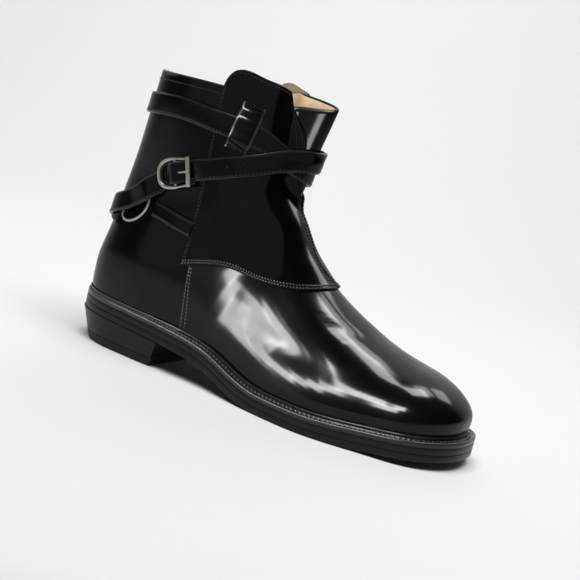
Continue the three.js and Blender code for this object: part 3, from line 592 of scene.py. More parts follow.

# Soft troughs and ridges, each along a line of places on the upper with its share of the depth;
# depth is below zero in a trough
creases = [
    {  # swell low on the outer side
        "depth": 0.8,
        "width": 13,
        "line": [
            (92, -34, 50, 0), (108, -35, 44, 0.5), (124, -36, 41, 1), (141, -40, 38, 1),
            (160, -43, 35, 1), (183, -47, 32, 0.8), (205, -46, 31, 0.4), (232, -38, 31, 0),
        ],
    },
    {  # hollow above it, between the two bright branches
        "depth": -1.3,
        "width": 10,
        "line": [
            (128, -37, 56, 0), (148, -40, 51, 0.5), (166, -42, 45, 1), (184, -43, 42, 1),
            (204, -41, 39, 0.9), (222, -36, 39, 0.5), (240, -30, 38, 0),
        ],
    },
    {  # hollow along the quarter's edge
        "depth": -1.4,
        "width": 14,
        "line": [
            (100, -33, 89, 0), (118, -33, 90, 0.6), (138, -33, 90, 1), (160, -30, 90, 1),
            (178, -20, 90, 0.6),
        ],
    },
    {
        "depth": -0.5,
        "width": 5,
        "line": [(186, -29, 68, 0), (199, -21, 66, 1), (209, -12, 63, 0.5), (216, -4, 61, 0)],
    },
    {"depth": -0.4, "width": 6, "line": [(168, 14, 72, 1), (190, 24, 52, 1)]},
    {"depth": -0.45, "width": 7, "line": [(60, -34, 96, 1), (76, -34, 90, 1)]},
    {"depth": 0.3, "width": 6, "line": [(40, -33, 104, 1), (60, -34, 99, 1)]},
    {"depth": -0.4, "width": 7, "line": [(58, 33, 96, 1), (78, 33, 88, 1)]},
]
wrinkles = {"count": 7, "depth": -0.16, "width": 1.7}
wrinkles.update({"first": (181, -27, 71), "last": (203, -26, 60), "run": (6, 6, 0)})
for share in np.linspace(0, 1, wrinkles["count"]):
    spot = lerp(np.array(wrinkles["first"]), np.array(wrinkles["last"]), share)
    line = [(*spot, 1), (*(spot + np.array(wrinkles["run"])), 0.2)]
    creases.append({"depth": wrinkles["depth"], "width": wrinkles["width"], "line": line})


def creaseOffset(points):
    total = np.zeros(points.shape[:-1])
    for crease in creases:
        line = np.array(crease["line"], float)
        best, strength = np.full(total.shape, 1e9), np.zeros(total.shape)
        for start, end in zip(line[:-1], line[1:]):
            run = end[:3] - start[:3]
            share = np.clip((points - start[:3]) @ run / (run @ run), 0, 1)
            away = np.linalg.norm(points - start[:3] - share[..., None] * run, axis=-1)
            nearer = away < best
            best = np.where(nearer, away, best)
            strength = np.where(nearer, lerp(start[3], end[3], share), strength)
        total += crease["depth"] * strength * np.exp(-((best / crease["width"]) ** 2))
    return total


def onUpper(points, level=0.0):
    lifted = creaseOffset(points) + level
    return points + outwardsAt(points) * lifted[..., None]


# The upper's one shell: outer leather, a rounded collar edge, and the lining inside
shell = {"rows": 130, "columns": 250, "innerRows": 60, "rim": 5, "cluster": 0.3}


def columnAngles(count):
    turn = 2 * np.pi * np.arange(count) / count
    return tipAngle() + turn - shell["cluster"] * np.sin(turn)


def makeShell():
    angles = columnAngles(shell["columns"])[None, :]
    outer = onUpper(ringPoints(np.linspace(0, 1, shell["rows"])[:, None], angles))
    inner = ringPoints(np.linspace(1, 0, shell["innerRows"])[:, None], angles, -boot["wall"])
    rim = []
    for k in range(1, shell["rim"] + 1):
        turn = math.pi * k / (shell["rim"] + 1)
        level = lerp(outer[-1], inner[0], (1 - math.cos(turn)) / 2)
        rim.append(level + np.array([0, 0, 0.45 * boot["wall"] * math.sin(turn)]))
    shape = Shape()
    shape.sheet(outer, 0, closedColumns=True)
    shape.sheet(np.stack([outer[-1], *rim, inner[0]]), 1, closedColumns=True)
    shape.sheet(inner, 2, closedColumns=True)
    shape.sheet(np.stack([inner[-1], outer[0]]), 2, closedColumns=True)
    return shape.build("upper_shell", [upperLeather, edgePaint, liningLeather], weld=0.001, sharp=60)


place(makeShell(), "upper", "upper")
print("upper shell made")

# The vamp laps over the back quarters: a second skin round the toe, from one rear seam to the other
vamp = {"thickness": 0.8, "rows": 125, "columns": 320, "top": 0.545, "rear": 86.4, "slant": 0.06}


def vampRear(z):
    return vamp["rear"] + vamp["slant"] * (65 - z)


def vampAngle(at, side):
    def tooFar(angle):
        points = ringPoints(at, side * angle)
        return points[..., 0] < vampRear(points[..., 2])

    return halve(np.full(len(at), 0.02), np.full(len(at), 3.1), tooFar)


vampLevels = np.linspace(0, vamp["top"], vamp["rows"])
vampEnds = [vampAngle(vampLevels, 1), -vampAngle(vampLevels, -1)]


# Points over the vamp: share runs from the outer rear seam to the inner one, at is the ring's
def vampPoints(share, at, level):
    ends = [np.interp(at, vampLevels, end) for end in vampEnds]
    return onUpper(ringPoints(at, lerp(ends[0], ends[1], share)), level)


def edgeShares(run, length, reach=0.8):
    away = np.minimum(run, 1 - run) * length / reach
    return np.sqrt(np.clip(1 - (1 - np.clip(away, 0, 1)) ** 2, 0, 1))


def makeVamp():
    run = denseRun(520, vamp["columns"], (0.1, 0.3, 0.6, 1, 2))[None, :]
    at = vampLevels[:, None]
    thick = 0.05 + vamp["thickness"] * (0.35 + 0.65 * edgeShares(run, 520)) * np.ones_like(at)
    outer = vampPoints(run, at, thick)
    inner = vampPoints(run, at, 0.05 * np.ones_like(thick))
    shape = Shape()
    shape.slab(outer, inner, 0)
    return shape.build("vamp", [upperLeather, edgePaint], weld=0.001, sharp=60)


place(makeVamp(), "upper")
print("vamp made")

# Front quarters: outlines from the side as shares of the length and the shaft's height
vampSeamRows = table(
    "at seam",
    [
        (0.276, 0.246), (0.332, 0.275), (0.4, 0.296), (0.45, 0.289), (0.53, 0.29), (0.58, 0.302),
        (0.63, 0.322), (0.75, 0.34),
    ],
)
flapRows = table(
    "at top",
    [
        (0.278, 0.99), (0.283, 1.03), (0.29, 1.058), (0.3, 1.077), (0.312, 1.086), (0.324, 1.089),
        (0.346, 1.083), (0.373, 1.072), (0.396, 1.065), (0.41, 1.055), (0.425, 1.04),
    ],
)
edgeRows = table(
    "at near far",
    [
        (0.2, 10, 11), (0.335, 7, 8), (0.385, 1, 2), (0.44, 2, 3), (0.535, 3, 4.2), (0.625, 2.4, 7),
        (0.7, 0.5, 15), (0.84, -2, 15.5), (0.95, -5, 16), (1.045, -12, 16.5), (1.12, -20, 17),
    ],
)
seamHeight = curve(vampSeamRows["at"], vampSeamRows["seam"])
flapTop = curve(flapRows["at"], flapRows["top"])
panelEdge = {-1: curve(edgeRows["at"], edgeRows["near"]), 1: curve(edgeRows["at"], edgeRows["far"])}
panel = {"across": 96, "up": 100, "width": 100, "height": 120, "under": 0.45}
panelLevels = np.linspace(shaftLevel(0.2), shaftLevel(1.1), 90)


def panelTurns(side):
    def rear(turn):
        return shaftPoints(side * turn, panelLevels, 0)[..., 0] < boot["seamAt"] * boot["length"]

    def front(turn):
        return shaftPoints(turn, panelLevels, 0)[..., 1] > panelEdge[side](heightShare(panelLevels))

    low, high = np.full(len(panelLevels), 25.0), np.full(len(panelLevels), 115.0)
    return side * halve(low, high, rear), halve(low * 0 - 30, low * 0 + 35, front)


panelEnds = {side: panelTurns(side) for side in (-1, 1)}


# Points over a front quarter: run goes from the rear seam to the front edge, rise from the vamp seam up
def panelPoints(side, run, rise, level):
    run, rise, level = np.broadcast_arrays(run, rise, np.asarray(level, float))
    rear, front = panelEnds[side]
    z = lerp(shaftLevel(0.29), shaftLevel(1.06), rise)
    for _ in range(16):
        turn = lerp(np.interp(z, panelLevels, rear), np.interp(z, panelLevels, front), run)
        points = shaftPoints(turn, z, level)
        at = points[..., 0] / boot["length"]
        z = 0.4 * z + 0.6 * shaftLevel(lerp(seamHeight(at), flapTop(at), rise))
    return points + outwardsAt(points) * creaseOffset(points)[..., None]


def makePanel(side, name):
    run = denseRun(panel["width"], panel["across"])
    rise = denseRun(panel["height"], panel["up"])
    across, up = edgeShares(run, panel["width"]), edgeShares(rise, panel["height"])
    share = np.minimum(across[None, :], up[:, None])
    top = boot["clearance"] + boot["panel"]
    level = lerp(panel["under"] + 0.4, top, share)
    outer = panelPoints(side, run[None, :], rise[:, None], level)
    inner = panelPoints(side, run[None, :], rise[:, None], panel["under"])
    shape = Shape()
    shape.slab(outer, inner, 2)
    return shape.build(name, [upperLeather, edgePaint, liningLeather], weld=0.001, sharp=60)


place(makePanel(-1, "near_quarter"), "upper", "front_flap")
place(makePanel(1, "far_quarter"), "upper", "inner_panel")
print("front quarters made")

# The shaft's girth as a strap sees it: quarters on, hollows bridged by the hull of each level
girthTurns = np.arange(-180, 180, 2.0)
girthLevels = np.arange(shaftLevel(0.2), shaftLevel(1) + 4, 4.0)


def coverLevel(points):
    at = heightShare(points[..., 2])
    near, far = panelEdge[-1](at) + 1.5, panelEdge[1](at) - 1.5
    between = (points[..., 1] > near) & (points[..., 1] < far)
    seam = boot["seamAt"]
    covered = smooth(seam - 0.03, seam - 0.006, points[..., 0] / boot["length"])
    return np.where(between, 0, (boot["clearance"] + boot["panel"]) * covered)


def hullRadii():
    turn, z = np.meshgrid(girthTurns, girthLevels)
    bare = shaftPoints(turn, z, 0)
    points = shaftPoints(turn, z, coverLevel(bare))
    radii = np.hypot(points[..., 0] - shaftAxis, points[..., 1])
    step = math.radians(girthTurns[1] - girthTurns[0])
    for span in (15, 10, 7, 5, 3, 2, 1):
        before, after = np.roll(radii, span, 1), np.roll(radii, -span, 1)
        chord = before * after * math.sin(2 * span * step) / ((before + after) * math.sin(span * step))
        radii = np.maximum(radii, chord)
    return radii


girths = hullRadii()


def girthAt(turn, z):
    level = np.clip((z - girthLevels[0]) / 4, 0, len(girthLevels) - 1.001)
    spot = ((turn + 180) % 360) / 2
    row, column = np.floor(level).astype(int), np.floor(spot).astype(int) % len(girthTurns)
    beside, up, along = (column + 1) % len(girthTurns), level - row, spot - np.floor(spot)
    low = lerp(girths[row, column], girths[row, beside], along)
    high = lerp(girths[row + 1, column], girths[row + 1, beside], along)
    return lerp(low, high, up)


def rim(turn, z):
    r = girthAt(turn, z)
    angle = np.radians(turn)
    return np.stack([shaftAxis + r * np.cos(angle), r * np.sin(angle), z], -1)


def unit(v):
    return v / np.linalg.norm(v, axis=-1, keepdims=True)


def outFrom(turn, z):
    return unit(np.cross(rim(turn + 4, z) - rim(turn - 4, z), rim(turn, z + 5) - rim(turn, z - 5)))


def onShaft(turn, z, lift):
    turn, z, lift = np.broadcast_arrays(turn, z, lift)
    return rim(turn, z) + outFrom(turn, z) * lift[..., None]


# A leather strip along a route of turns round the shaft, heights and lifts off it
class Strip:
    def __init__(self, rows, width, thickness, step):
        run = rows.get("run", rows["turn"] * np.sign(rows["turn"][-1] - rows["turn"][0]))
        self.width, self.thickness = width, thickness
        self.turn, self.lift = curve(run, rows["turn"]), curve(run, rows["lift"])
        self.height = curve(run, shaftLevel(rows["at"]))
        self.wide = curve(run, rows["wide"]) if "wide" in rows else lambda k: np.ones_like(k)
        self.stations = np.linspace(run[0], run[-1], max(int(abs(run[-1] - run[0]) / step), 4))

    # One line along the strip: off is sideways from its middle, rise is above its underside
    def line(self, off, rise, stations=None):
        k = self.stations if stations is None else stations
        turn, z = self.turn(k), self.height(k)
        ahead, behind = (rim(self.turn(k + step), self.height(k + step)) for step in (0.5, -0.5))
        way = unit(ahead - behind)
        out = outFrom(turn, z)
        sideways = unit(np.cross(out, way))
        level = unit(np.cross([0, 0, 1], out))
        degree = np.linalg.norm(rim(turn + 2, z) - rim(turn - 2, z), axis=-1) / 4
        off = off * self.wide(k)
        turn = turn + off * (sideways * level).sum(-1) / degree
        return onShaft(turn, z + off * sideways[..., 2], self.lift(k) + rise)

    def outs(self, stations=None):
        k = self.stations if stations is None else stations
        return outFrom(self.turn(k), self.height(k))

    def section(self, crown=0.12, corner=0.6, flat=1.4, chamfer=0.3):
        half, thick = self.width / 2, self.thickness
        offs = np.linspace(-half + flat, half - flat, 7)
        face = [(off, thick + crown * (1 - (off / half) ** 2), 0) for off in offs]
        right = []
        for t in np.linspace(0, math.pi / 2, 4):
            right.append((half - corner + corner * math.sin(t), thick - corner + corner * math.cos(t), 1))
        below = [(half, 0.25, 1), (half - chamfer, 0, 1), (-half + chamfer, 0, 1), (-half, 0.25, 1)]
        left = [(-off, rise, slot) for off, rise, slot in right[::-1]]
        return face + right + below + left

    def shape(self, shape):
        section = self.section()
        lines = [self.line(off, rise) for off, rise, _ in section]
        grid = np.stack(lines, 1)
        slots = [slot for *_, slot in section]
        n = len(section)
        for j in range(n):
            pair = grid[:, [j, (j + 1) % n]]
            shape.sheet(pair, max(slots[j], slots[(j + 1) % n]))
        shape.cap(grid[0], 1)
        shape.cap(grid[-1], 1)

    def build(self, name):
        shape = Shape()
        self.shape(shape)
        return shape.build(name, [strapLeather, edgePaint], weld=0.001, sharp=65)


strapSize = {"width": 14.6, "thickness": 2, "ring": 2}
snug = boot["clearance"] + 0.2
crossing = 2 * snug + strapSize["thickness"]
overRing = 2 * snug + strapSize["ring"]
strapRows = table(
    "turn at lift wide",
    [
        (-94, 0.614, snug, 1), (-110, 0.576, snug, 1), (-117, 0.552, snug + 0.2, 1),
        (-125, 0.52, overRing, 1), (-143, 0.447, overRing, 1), (-162, 0.393, overRing, 1),
        (-174, 0.373, snug, 1), (-185, 0.368, snug, 1), (-210, 0.392, snug, 1), (-240, 0.449, snug, 1),
        (-270, 0.517, snug, 1), (-300, 0.591, snug, 1), (-330, 0.678, snug + 0.2, 1),
        (-345, 0.712, snug + 0.4, 1), (-356, 0.738, snug + 0.9, 1), (-366, 0.766, snug + 0.3, 1),
        (-389, 0.836, snug, 1), (-410, 0.856, snug, 1), (-440, 0.869, snug, 1), (-465, 0.876, snug, 1),
        (-510, 0.866, snug, 1), (-540, 0.857, snug, 1), (-600, 0.845, snug, 1), (-660, 0.823, snug, 1),
        (-680, 0.816, 1.4, 1), (-700, 0.81, crossing + 0.2, 1), (-716, 0.8, crossing + 0.8, 1),
        (-732, 0.768, crossing + 0.2, 1), (-746, 0.7315, crossing, 1), (-760, 0.7, 2.1, 1),
        (-772, 0.676, 0.8, 1), (-790, 0.648, snug, 1), (-798, 0.636, snug, 1), (-801, 0.6315, 1, 1),
        (-807, 0.6225, 4.6, 1), (-813, 0.6125, 7.3, 1), (-820, 0.603, 5.4, 1),
        (-825, 0.5965, crossing + 0.5, 0.96), (-829, 0.5905, crossing + 0.1, 0.74),
        (-831.5, 0.587, crossing, 0.42),
    ],
)
strap = Strip(strapRows, strapSize["width"], strapSize["thickness"], 1.4)
place(strap.build("wrap_strap"), "strap", "strap")
keeperRows = table(
    "turn at lift run",
    [
        (-37, 0.962, snug, 0), (-37.6, 0.935, snug + 0.1, 4), (-38.4, 0.905, crossing + 0.2, 9),
        (-40, 0.85, crossing + 0.6, 18), (-41.6, 0.797, crossing + 0.6, 27),
        (-42.4, 0.784, snug + 0.6, 32), (-43, 0.766, snug, 37),
    ],
)
keeper = Strip(keeperRows, 15, 1.8, 0.6)
place(keeper.build("keeper"), "strap", "keeper_loop")
frontTabRows = table(
    "turn at lift", [(-116, 0.438, snug), (-100, 0.429, snug), (-79, 0.414, snug), (-62, 0.404, 0.2)]
)
frontTab = Strip(frontTabRows, 10.5, 1.5, 1.2)
place(frontTab.build("front_tab"), "strap", "ring_tab")
backTabRows = table(
    "turn at lift run", [(-161, 0.362, snug, 0), (-155, 0.356, snug, 6), (-150.5, 0.352, snug, 10.5)]
)
backTab = Strip(backTabRows, 10.5, 1.8, 1)
place(backTab.build("back_tab"), "strap", "ring_tab_back")
print("strap, keeper and tabs made")

# The buckle's own axes at its centre pin: along the strap, across it and off the boot
buckle = {"turn": -93.4, "level": 0.61, "tilt": 19, "height": 21.6, "reach": 14, "bar": 10}
buckle.update({"wire": 2.6, "side": 1.9, "pin": 2.4, "prong": 1.8})


def buckleAxes():
    z = shaftLevel(buckle["level"])
    origin = onShaft(buckle["turn"], z, 0.0)
    out = unit(np.cross(rim(buckle["turn"] + 22, z) - rim(buckle["turn"] - 22, z), [0, 0, 1]))
    level = unit(np.cross([0, 0, 1], out))
    tilt = math.radians(buckle["tilt"])
    along = level * math.cos(tilt) + np.array([0, 0, math.sin(tilt)])
    return origin, along, np.cross(out, along), out


buckleFrame = buckleAxes()


def onBuckle(u, w, n):
    origin, along, across, out = buckleFrame
    u, w, n = np.broadcast_arrays(*[np.asarray(v, float)[..., None] for v in (u, w, n)])
    return origin + along * u + across * w + out * n


def frameLevel(u):
    return 5.5 - 0.08 * u


# A round wire along points, with its own radius at each; ends are domed
def wire(shape, points, radii, sides=20, closed=False, hint=None):
    points, radii = np.array(points), np.broadcast_to(radii, len(points))
    if not closed:
        first, last = unit(points[0] - points[1]), unit(points[-1] - points[-2])
        dome = [(0.5, 0.866), (0.87, 0.5), (1, 0.12)]
        before = [points[0] + first * radii[0] * d for d, _ in dome][::-1]
        after = [points[-1] + last * radii[-1] * d for d, _ in dome]
        shares = [s for _, s in dome]
        points = np.vstack([before, points, after])
        radii = np.concatenate([radii[0] * np.array(shares[::-1]), radii, radii[-1] * np.array(shares)])
    if closed:
        way = unit(np.roll(points, -1, 0) - np.roll(points, 1, 0))
    else:
        way = unit(np.gradient(points, axis=0))
    hint = buckleFrame[3] if hint is None else hint
    a = unit(np.cross(hint, way))
    b = np.cross(way, a)
    turn = 2 * np.pi * np.arange(sides) / sides
    ring = a[:, None] * np.cos(turn)[:, None] + b[:, None] * np.sin(turn)[:, None]
    grid = points[:, None] + ring * radii[:, None, None]
    shape.sheet(grid, 0, closedRows=closed, closedColumns=True)
    if not closed:
        shape.cap(grid[0])
        shape.cap(grid[-1])


def roundedBar(shape, centre, axes, size, bevel):
    work = bmesh.new()
    bmesh.ops.create_cube(work, size=1)
    for vertex in work.verts:
        vertex.co = Vector([c * s for c, s in zip(vertex.co, size)])
    bmesh.ops.bevel(work, geom=list(work.edges), offset=bevel, segments=4, profile=0.5, affect="EDGES")
    bmesh.ops.triangulate(work, faces=work.faces)
    work.verts.index_update()
    local = np.array([vertex.co for vertex in work.verts])
    faces = [[vertex.index for vertex in face.verts] for face in work.faces]
    shape.add(centre + local @ np.array(axes), faces)
    work.free()


def makeBuckleFrame():
    shape = Shape()
    half = buckle["height"] / 2 - buckle["wire"] / 2
    arcEnd = buckle["reach"] - buckle["wire"] / 2
    turn = np.pi * (0.5 + np.linspace(0, 1, 44))
    squarish = 2 / 2.8
    u = -arcEnd * np.abs(np.cos(turn)) ** squarish
    w = half * np.sign(np.sin(turn)) * np.abs(np.sin(turn)) ** squarish
    legs = np.array([0.2, 0.4, 0.6, 0.8, 1])
    u = np.concatenate([u, legs * buckle["bar"], legs[::-1] * buckle["bar"]])
    w = np.concatenate([w, -half * (1 - 0.08 * legs), half * (1 - 0.08 * legs[::-1])])
    radii = np.full(len(u), buckle["wire"] / 2)
    radii[44:] = buckle["side"] / 2
    wire(shape, onBuckle(u, w, frameLevel(u)), radii, closed=True)
    centre = onBuckle(buckle["bar"], 0, frameLevel(buckle["bar"]))
    roundedBar(shape, centre, buckleFrame[1:], (3.4, buckle["height"] - 1.4, 1.8), 0.45)
    pin = np.linspace(-half, half, 12)
    wire(shape, onBuckle(0 * pin, pin, frameLevel(0) - 0.15), buckle["pin"] / 2, hint=buckleFrame[1])
    return shape.build("buckle", [nickel], sharp=60)


prongRows = table("along off", [(1.75, 5.5), (3, 6.4), (5.5, 6.7), (8, 6.8), (11.6, 6.8)])


def makeProng():
    shape = Shape()
    u = np.linspace(prongRows["along"][0], prongRows["along"][-1], 24)
    off = curve(prongRows["along"], prongRows["off"])(u)
    wire(shape, onBuckle(u, 0 * u, off), buckle["prong"] / 2 * lerp(1, 0.8, np.linspace(0, 1, 24)))
    return shape.build("prong", [nickel], sharp=60)


place(makeBuckleFrame(), "metal", "buckle_frame")
place(makeProng(), "metal", "buckle_prong")

ring = {"turn": -137, "level": 0.422, "tilt": 52, "length": 26, "width": 17, "wire": 2}


def makeRing():
    z, tilt = shaftLevel(ring["level"]), math.radians(ring["tilt"])
    turn0 = np.array(float(ring["turn"]))
    degree = np.linalg.norm(rim(turn0 + 2, np.array(z)) - rim(turn0 - 2, np.array(z))) / 4
    angle = 2 * np.pi * np.arange(80) / 80
    a, b = ring["length"] / 2 * np.cos(angle), ring["width"] / 2 * np.sin(angle)
    turn = ring["turn"] + (a * math.cos(tilt) + b * math.sin(tilt)) / degree
    points = onShaft(turn, z + a * math.sin(tilt) - b * math.cos(tilt), snug + ring["wire"] / 2)
    shape = Shape()
    wire(shape, points, ring["wire"] / 2, closed=True)
    return shape.build("side_ring_wire", [nickel], sharp=60)


place(makeRing(), "metal", "side_ring")
print("metal made")

# Sole set: the feather line spread outwards, by distance and height
soleColumns = 380


def fineFeather():
    outline = featherLine(np.linspace(math.pi, -math.pi, 1441)[:-1])
    closed = np.vstack([outline, outline[:1]])
    length = np.concatenate([[0], np.cumsum(np.linalg.norm(np.diff(closed, axis=0), axis=1))])
    at = np.linspace(0, length[-1], soleColumns + 1)[:-1]
    return np.stack([np.interp(at, length, closed[:, i]) for i in (0, 1)], -1)


feather = fineFeather()


def soleRow(distance, height):
    along = feather[:, 0]
    away = distance(along) if callable(distance) else np.full(len(along), float(distance))
    edge = pushed(feather, away)
    return np.column_stack([edge, height(edge[:, 0])])


def weltBase(x):
    return soleLine(x) - sole["welt"]


def midsoleBase(x):
    return weltBase(x) - sole["midsole"]


def treadLevel(x):
    return np.maximum(soleLine(x) - stack, 0)


def beyond(extra):
    return lambda x: sideMargin(x) + extra


def above(line, rise):
    return lambda x: line(x) + rise


# Stacked rings, closed at both ends by a sheet across
def ringBody(name, rings, half, steps, finishes):
    shape = Shape()
    shape.sheet(rings, 0, closedColumns=True)
    n = rings.shape[1]
    across = np.linspace(0, 1, steps)[:, None, None]
    for end in (rings[0], rings[-1]):
        shape.sheet(lerp(end[half][None], end[(n - half) % n][None], across), len(finishes) - 1)
    return shape.build(name, finishes, weld=0.002, sharp=35)


def plate(name, rows, finishes):
    rings = np.stack([soleRow(*row) for row in rows])
    return ringBody(name, rings, np.arange(soleColumns // 2 + 1), 9, finishes)


# A side wall between two heights, with rounded arrises
def wallRows(low, high, arris):
    rows = [(-1, 0), (-0.3, 0.3), (0, 1)]
    bottom = [(beyond(reach * arris), above(low, up * arris)) for reach, up in rows]
    top = [(beyond(reach * arris), above(high, -up * arris)) for reach, up in rows[::-1]]
    return bottom + top


gap = boot["clearance"]
place(
    plate("outsole_tread", wallRows(treadLevel, above(midsoleBase, -0.08), 0.35), [soleEdge, rubberLift]),
    "sole",
    "outsole",
)
place(
    plate("midsole_edge", wallRows(midsoleBase, above(weltBase, -0.08), 0.22), [soleEdge]),
    "sole",
    "midsole",
)

# Welt across its width, from the lip at the upper to the bead at its edge: shares of that width
lipLean = boot["edgeTuck"] * (1 - (1 - sole["lip"] / boot["edgeHeight"]) ** 2)
lipFoot = gap + 0.15
weltRows = [
    (0.0, 0.0), (0.0, 0.85), (0.05, 1.0), (0.13, 1.0), (0.18, 0.8), (0.2, 0.2), (0.26, -0.08),
    (0.6, -0.1), (0.68, -0.02), (0.74, 0.12), (0.86, 0.14), (0.95, 0.04), (0.99, -0.12),
]


def makeWelt():
    lean = lipFoot + lipLean
    rows = [soleRow(-sole["inset"], weltBase), soleRow(beyond(-0.25), weltBase)]
    rows.append(soleRow(beyond(0), above(weltBase, 0.3)))
    rows.append(soleRow(beyond(0), above(soleLine, -0.8)))
    for across, up in weltRows[::-1]:
        start = lean if up > 0.5 else lipFoot
        rows.append(soleRow(lambda x: lerp(start, sideMargin(x), across), above(soleLine, up * sole["lip"])))
    rows.append(soleRow(-sole["inset"], soleLine))
    shape = Shape()
    shape.sheet(np.stack(rows), 0, closedRows=True, closedColumns=True)
    return shape.build("welt_strip", [weltEdge], sharp=40)


place(makeWelt(), "welt", "welt")


# Heel: the sole's outline up to the breast, drawn in towards the floor
def heelOutline(stations):
    def corner(side):
        far, near = math.pi, 0.0
        for _ in range(30):
            middle = (far + near) / 2
            if featherLine(np.array([side * middle]))[0, 0] < sole["heelLength"]:
                far = middle
            else:
                near = middle
        return far

    outer = featherLine(np.linspace(math.pi, corner(1), stations))
    inner = featherLine(-np.linspace(math.pi, corner(-1), stations))[1:]
    return np.vstack([outer, inner[::-1]]), stations


heelRing, heelCorner = heelOutline(100)


def heelSection(share, height, inward=0.0):
    x = heelRing[:, 0]
    distance = sideMargin(x) + sole["ledge"] - sole["taper"] * (1 - share) - inward
    way = np.roll(heelRing, -1, 0) - np.roll(heelRing, 1, 0)
    way = np.stack([way[:, 1], -way[:, 0]], -1)
    for i in (heelCorner - 1, heelCorner):
        way[i] = (0, np.sign(heelRing[i, 1]))
    edge = heelRing + unit(way) * distance[:, None]
    backward = np.clip(1 - edge[:, 0] / (0.55 * sole["heelLength"]), 0, 1)
    forward = np.clip(edge[:, 0] / sole["heelLength"], 0, 1) ** 4
    along = edge[:, 0] + sole["rake"] * (1 - share) * backward + sole["breastLean"] * share * forward
    return np.column_stack([along, edge[:, 1], height(along)])


def heelTop(x):
    return treadLevel(x) - 0.08


def heelBody(name, sections, finish):
    return ringBody(name, np.stack(sections), np.arange(heelCorner), 7, [finish])


def makeHeel():
    base = sole["lift"] + 0.08
    start = base / float(heelTop(np.array(0.0)))
    sections = []
    for up, inward in heelRows:
        sections.append(heelSection(lerp(start, 1, up), lambda x: lerp(base, heelTop(x), up), inward))
    return heelBody("heel_stack", sections, soleEdge)


heelRows = [(0, 0.3), (0.02, 0.08), (0.05, 0)]
for line in (0.36, 0.7):
    heelRows += [(line - 0.02, 0), (line, 0.05), (line + 0.02, 0)]
heelRows += [(0.9, 0), (0.95, -0.1), (0.985, 0), (1, 0.3)]


def makeLift():
    rise = sole["lift"] / float(heelTop(np.array(0.0)))
    rows = [(0, 0.5), (0.05, 0.15), (0.12, 0), (0.9, 0), (0.97, 0.1), (1, 0.3)]
    sections = [heelSection(rise * up, lambda x: 0 * x + sole["lift"] * up, inward) for up, inward in rows]
    return heelBody("heel_lift", sections, rubberLift)


place(makeHeel(), "sole", "heel_block")
place(makeLift(), "lift", "top_lift")
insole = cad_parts["insole"]
insole.data.materials.clear()
insole.data.materials.append(liningLeather)
print("sole set made")


# Stitches: small capsules that dip into the leather at both ends, gathered in one mesh
def stitchTemplate(length, radius, sides=6):
    along = np.array([-0.5, -0.4, 0, 0.4, 0.5]) * length
    swell = np.array([0.35, 0.85, 1, 0.85, 0.35]) * radius
    height = np.array([-0.8, -0.1, 0.4, -0.1, -0.8]) * radius
    turn = 2 * np.pi * np.arange(sides) / sides
    points = np.stack(
        [
            np.broadcast_to(along[:, None], (5, sides)),
            swell[:, None] * np.cos(turn),
            swell[:, None] * np.sin(turn) + height[:, None],
        ],
        -1,
    ).reshape(-1, 3)
    faces = []
    for row in range(4):
        for i in range(sides):
            j = (i + 1) % sides
            faces.append((row * sides + i, row * sides + j, (row + 1) * sides + j))
            faces.append((row * sides + i, (row + 1) * sides + j, (row + 1) * sides + i))
    for start, order in ((0, 1), (4 * sides, -1)):
        for i in range(1, sides - 1):
            faces.append((start, *(start + i, start + i + 1)[::order]))
    return points, np.array(faces)


def alongLine(points, outs, pitch):
    step = np.linalg.norm(np.diff(points, axis=0), axis=1)
    length = np.concatenate([[0], np.cumsum(step)])
    count = max(int(length[-1] / pitch), 1)
    at = (np.arange(count) + 0.5) * length[-1] / count

    def sample(values, where):
        return np.stack([np.interp(where, length, values[:, i]) for i in range(3)], -1)

    way = unit(sample(points, at + 0.3) - sample(points, at - 0.3))
    return sample(points, at), way, unit(sample(outs, at))


def sew(shape, points, outs, pitch=2.6, length=2.0, radius=0.42, rise=0.05, slant=0.0):
    centres, way, out = alongLine(np.asarray(points), np.asarray(outs), pitch)
    across = unit(np.cross(out, way))
    way = np.cross(across, out)
    turned = way * math.cos(slant) + across * math.sin(slant)
    across = np.cross(out, turned)
    template, faces = stitchTemplate(length, radius)
    local = template[None, :, :, None] * np.stack([turned, across, out], 1)[:, None]
    points = centres[:, None] + local.sum(2) + out[:, None] * rise
    offsets = np.arange(len(centres))[:, None, None] * len(template)
    shape.add(points.reshape(-1, 3), (faces[None] + offsets).reshape(-1, 3))


def sewPanel(shape, side, run, up, **looks):
    points = panelPoints(side, run, up, boot["clearance"] + boot["panel"])
    sew(shape, points, outwardsAt(points), **looks)


def sewVamp(shape, share, at, **looks):
    points = vampPoints(share, at, vamp["thickness"] + 0.05)
    sew(shape, points, outwardsAt(points), **looks)


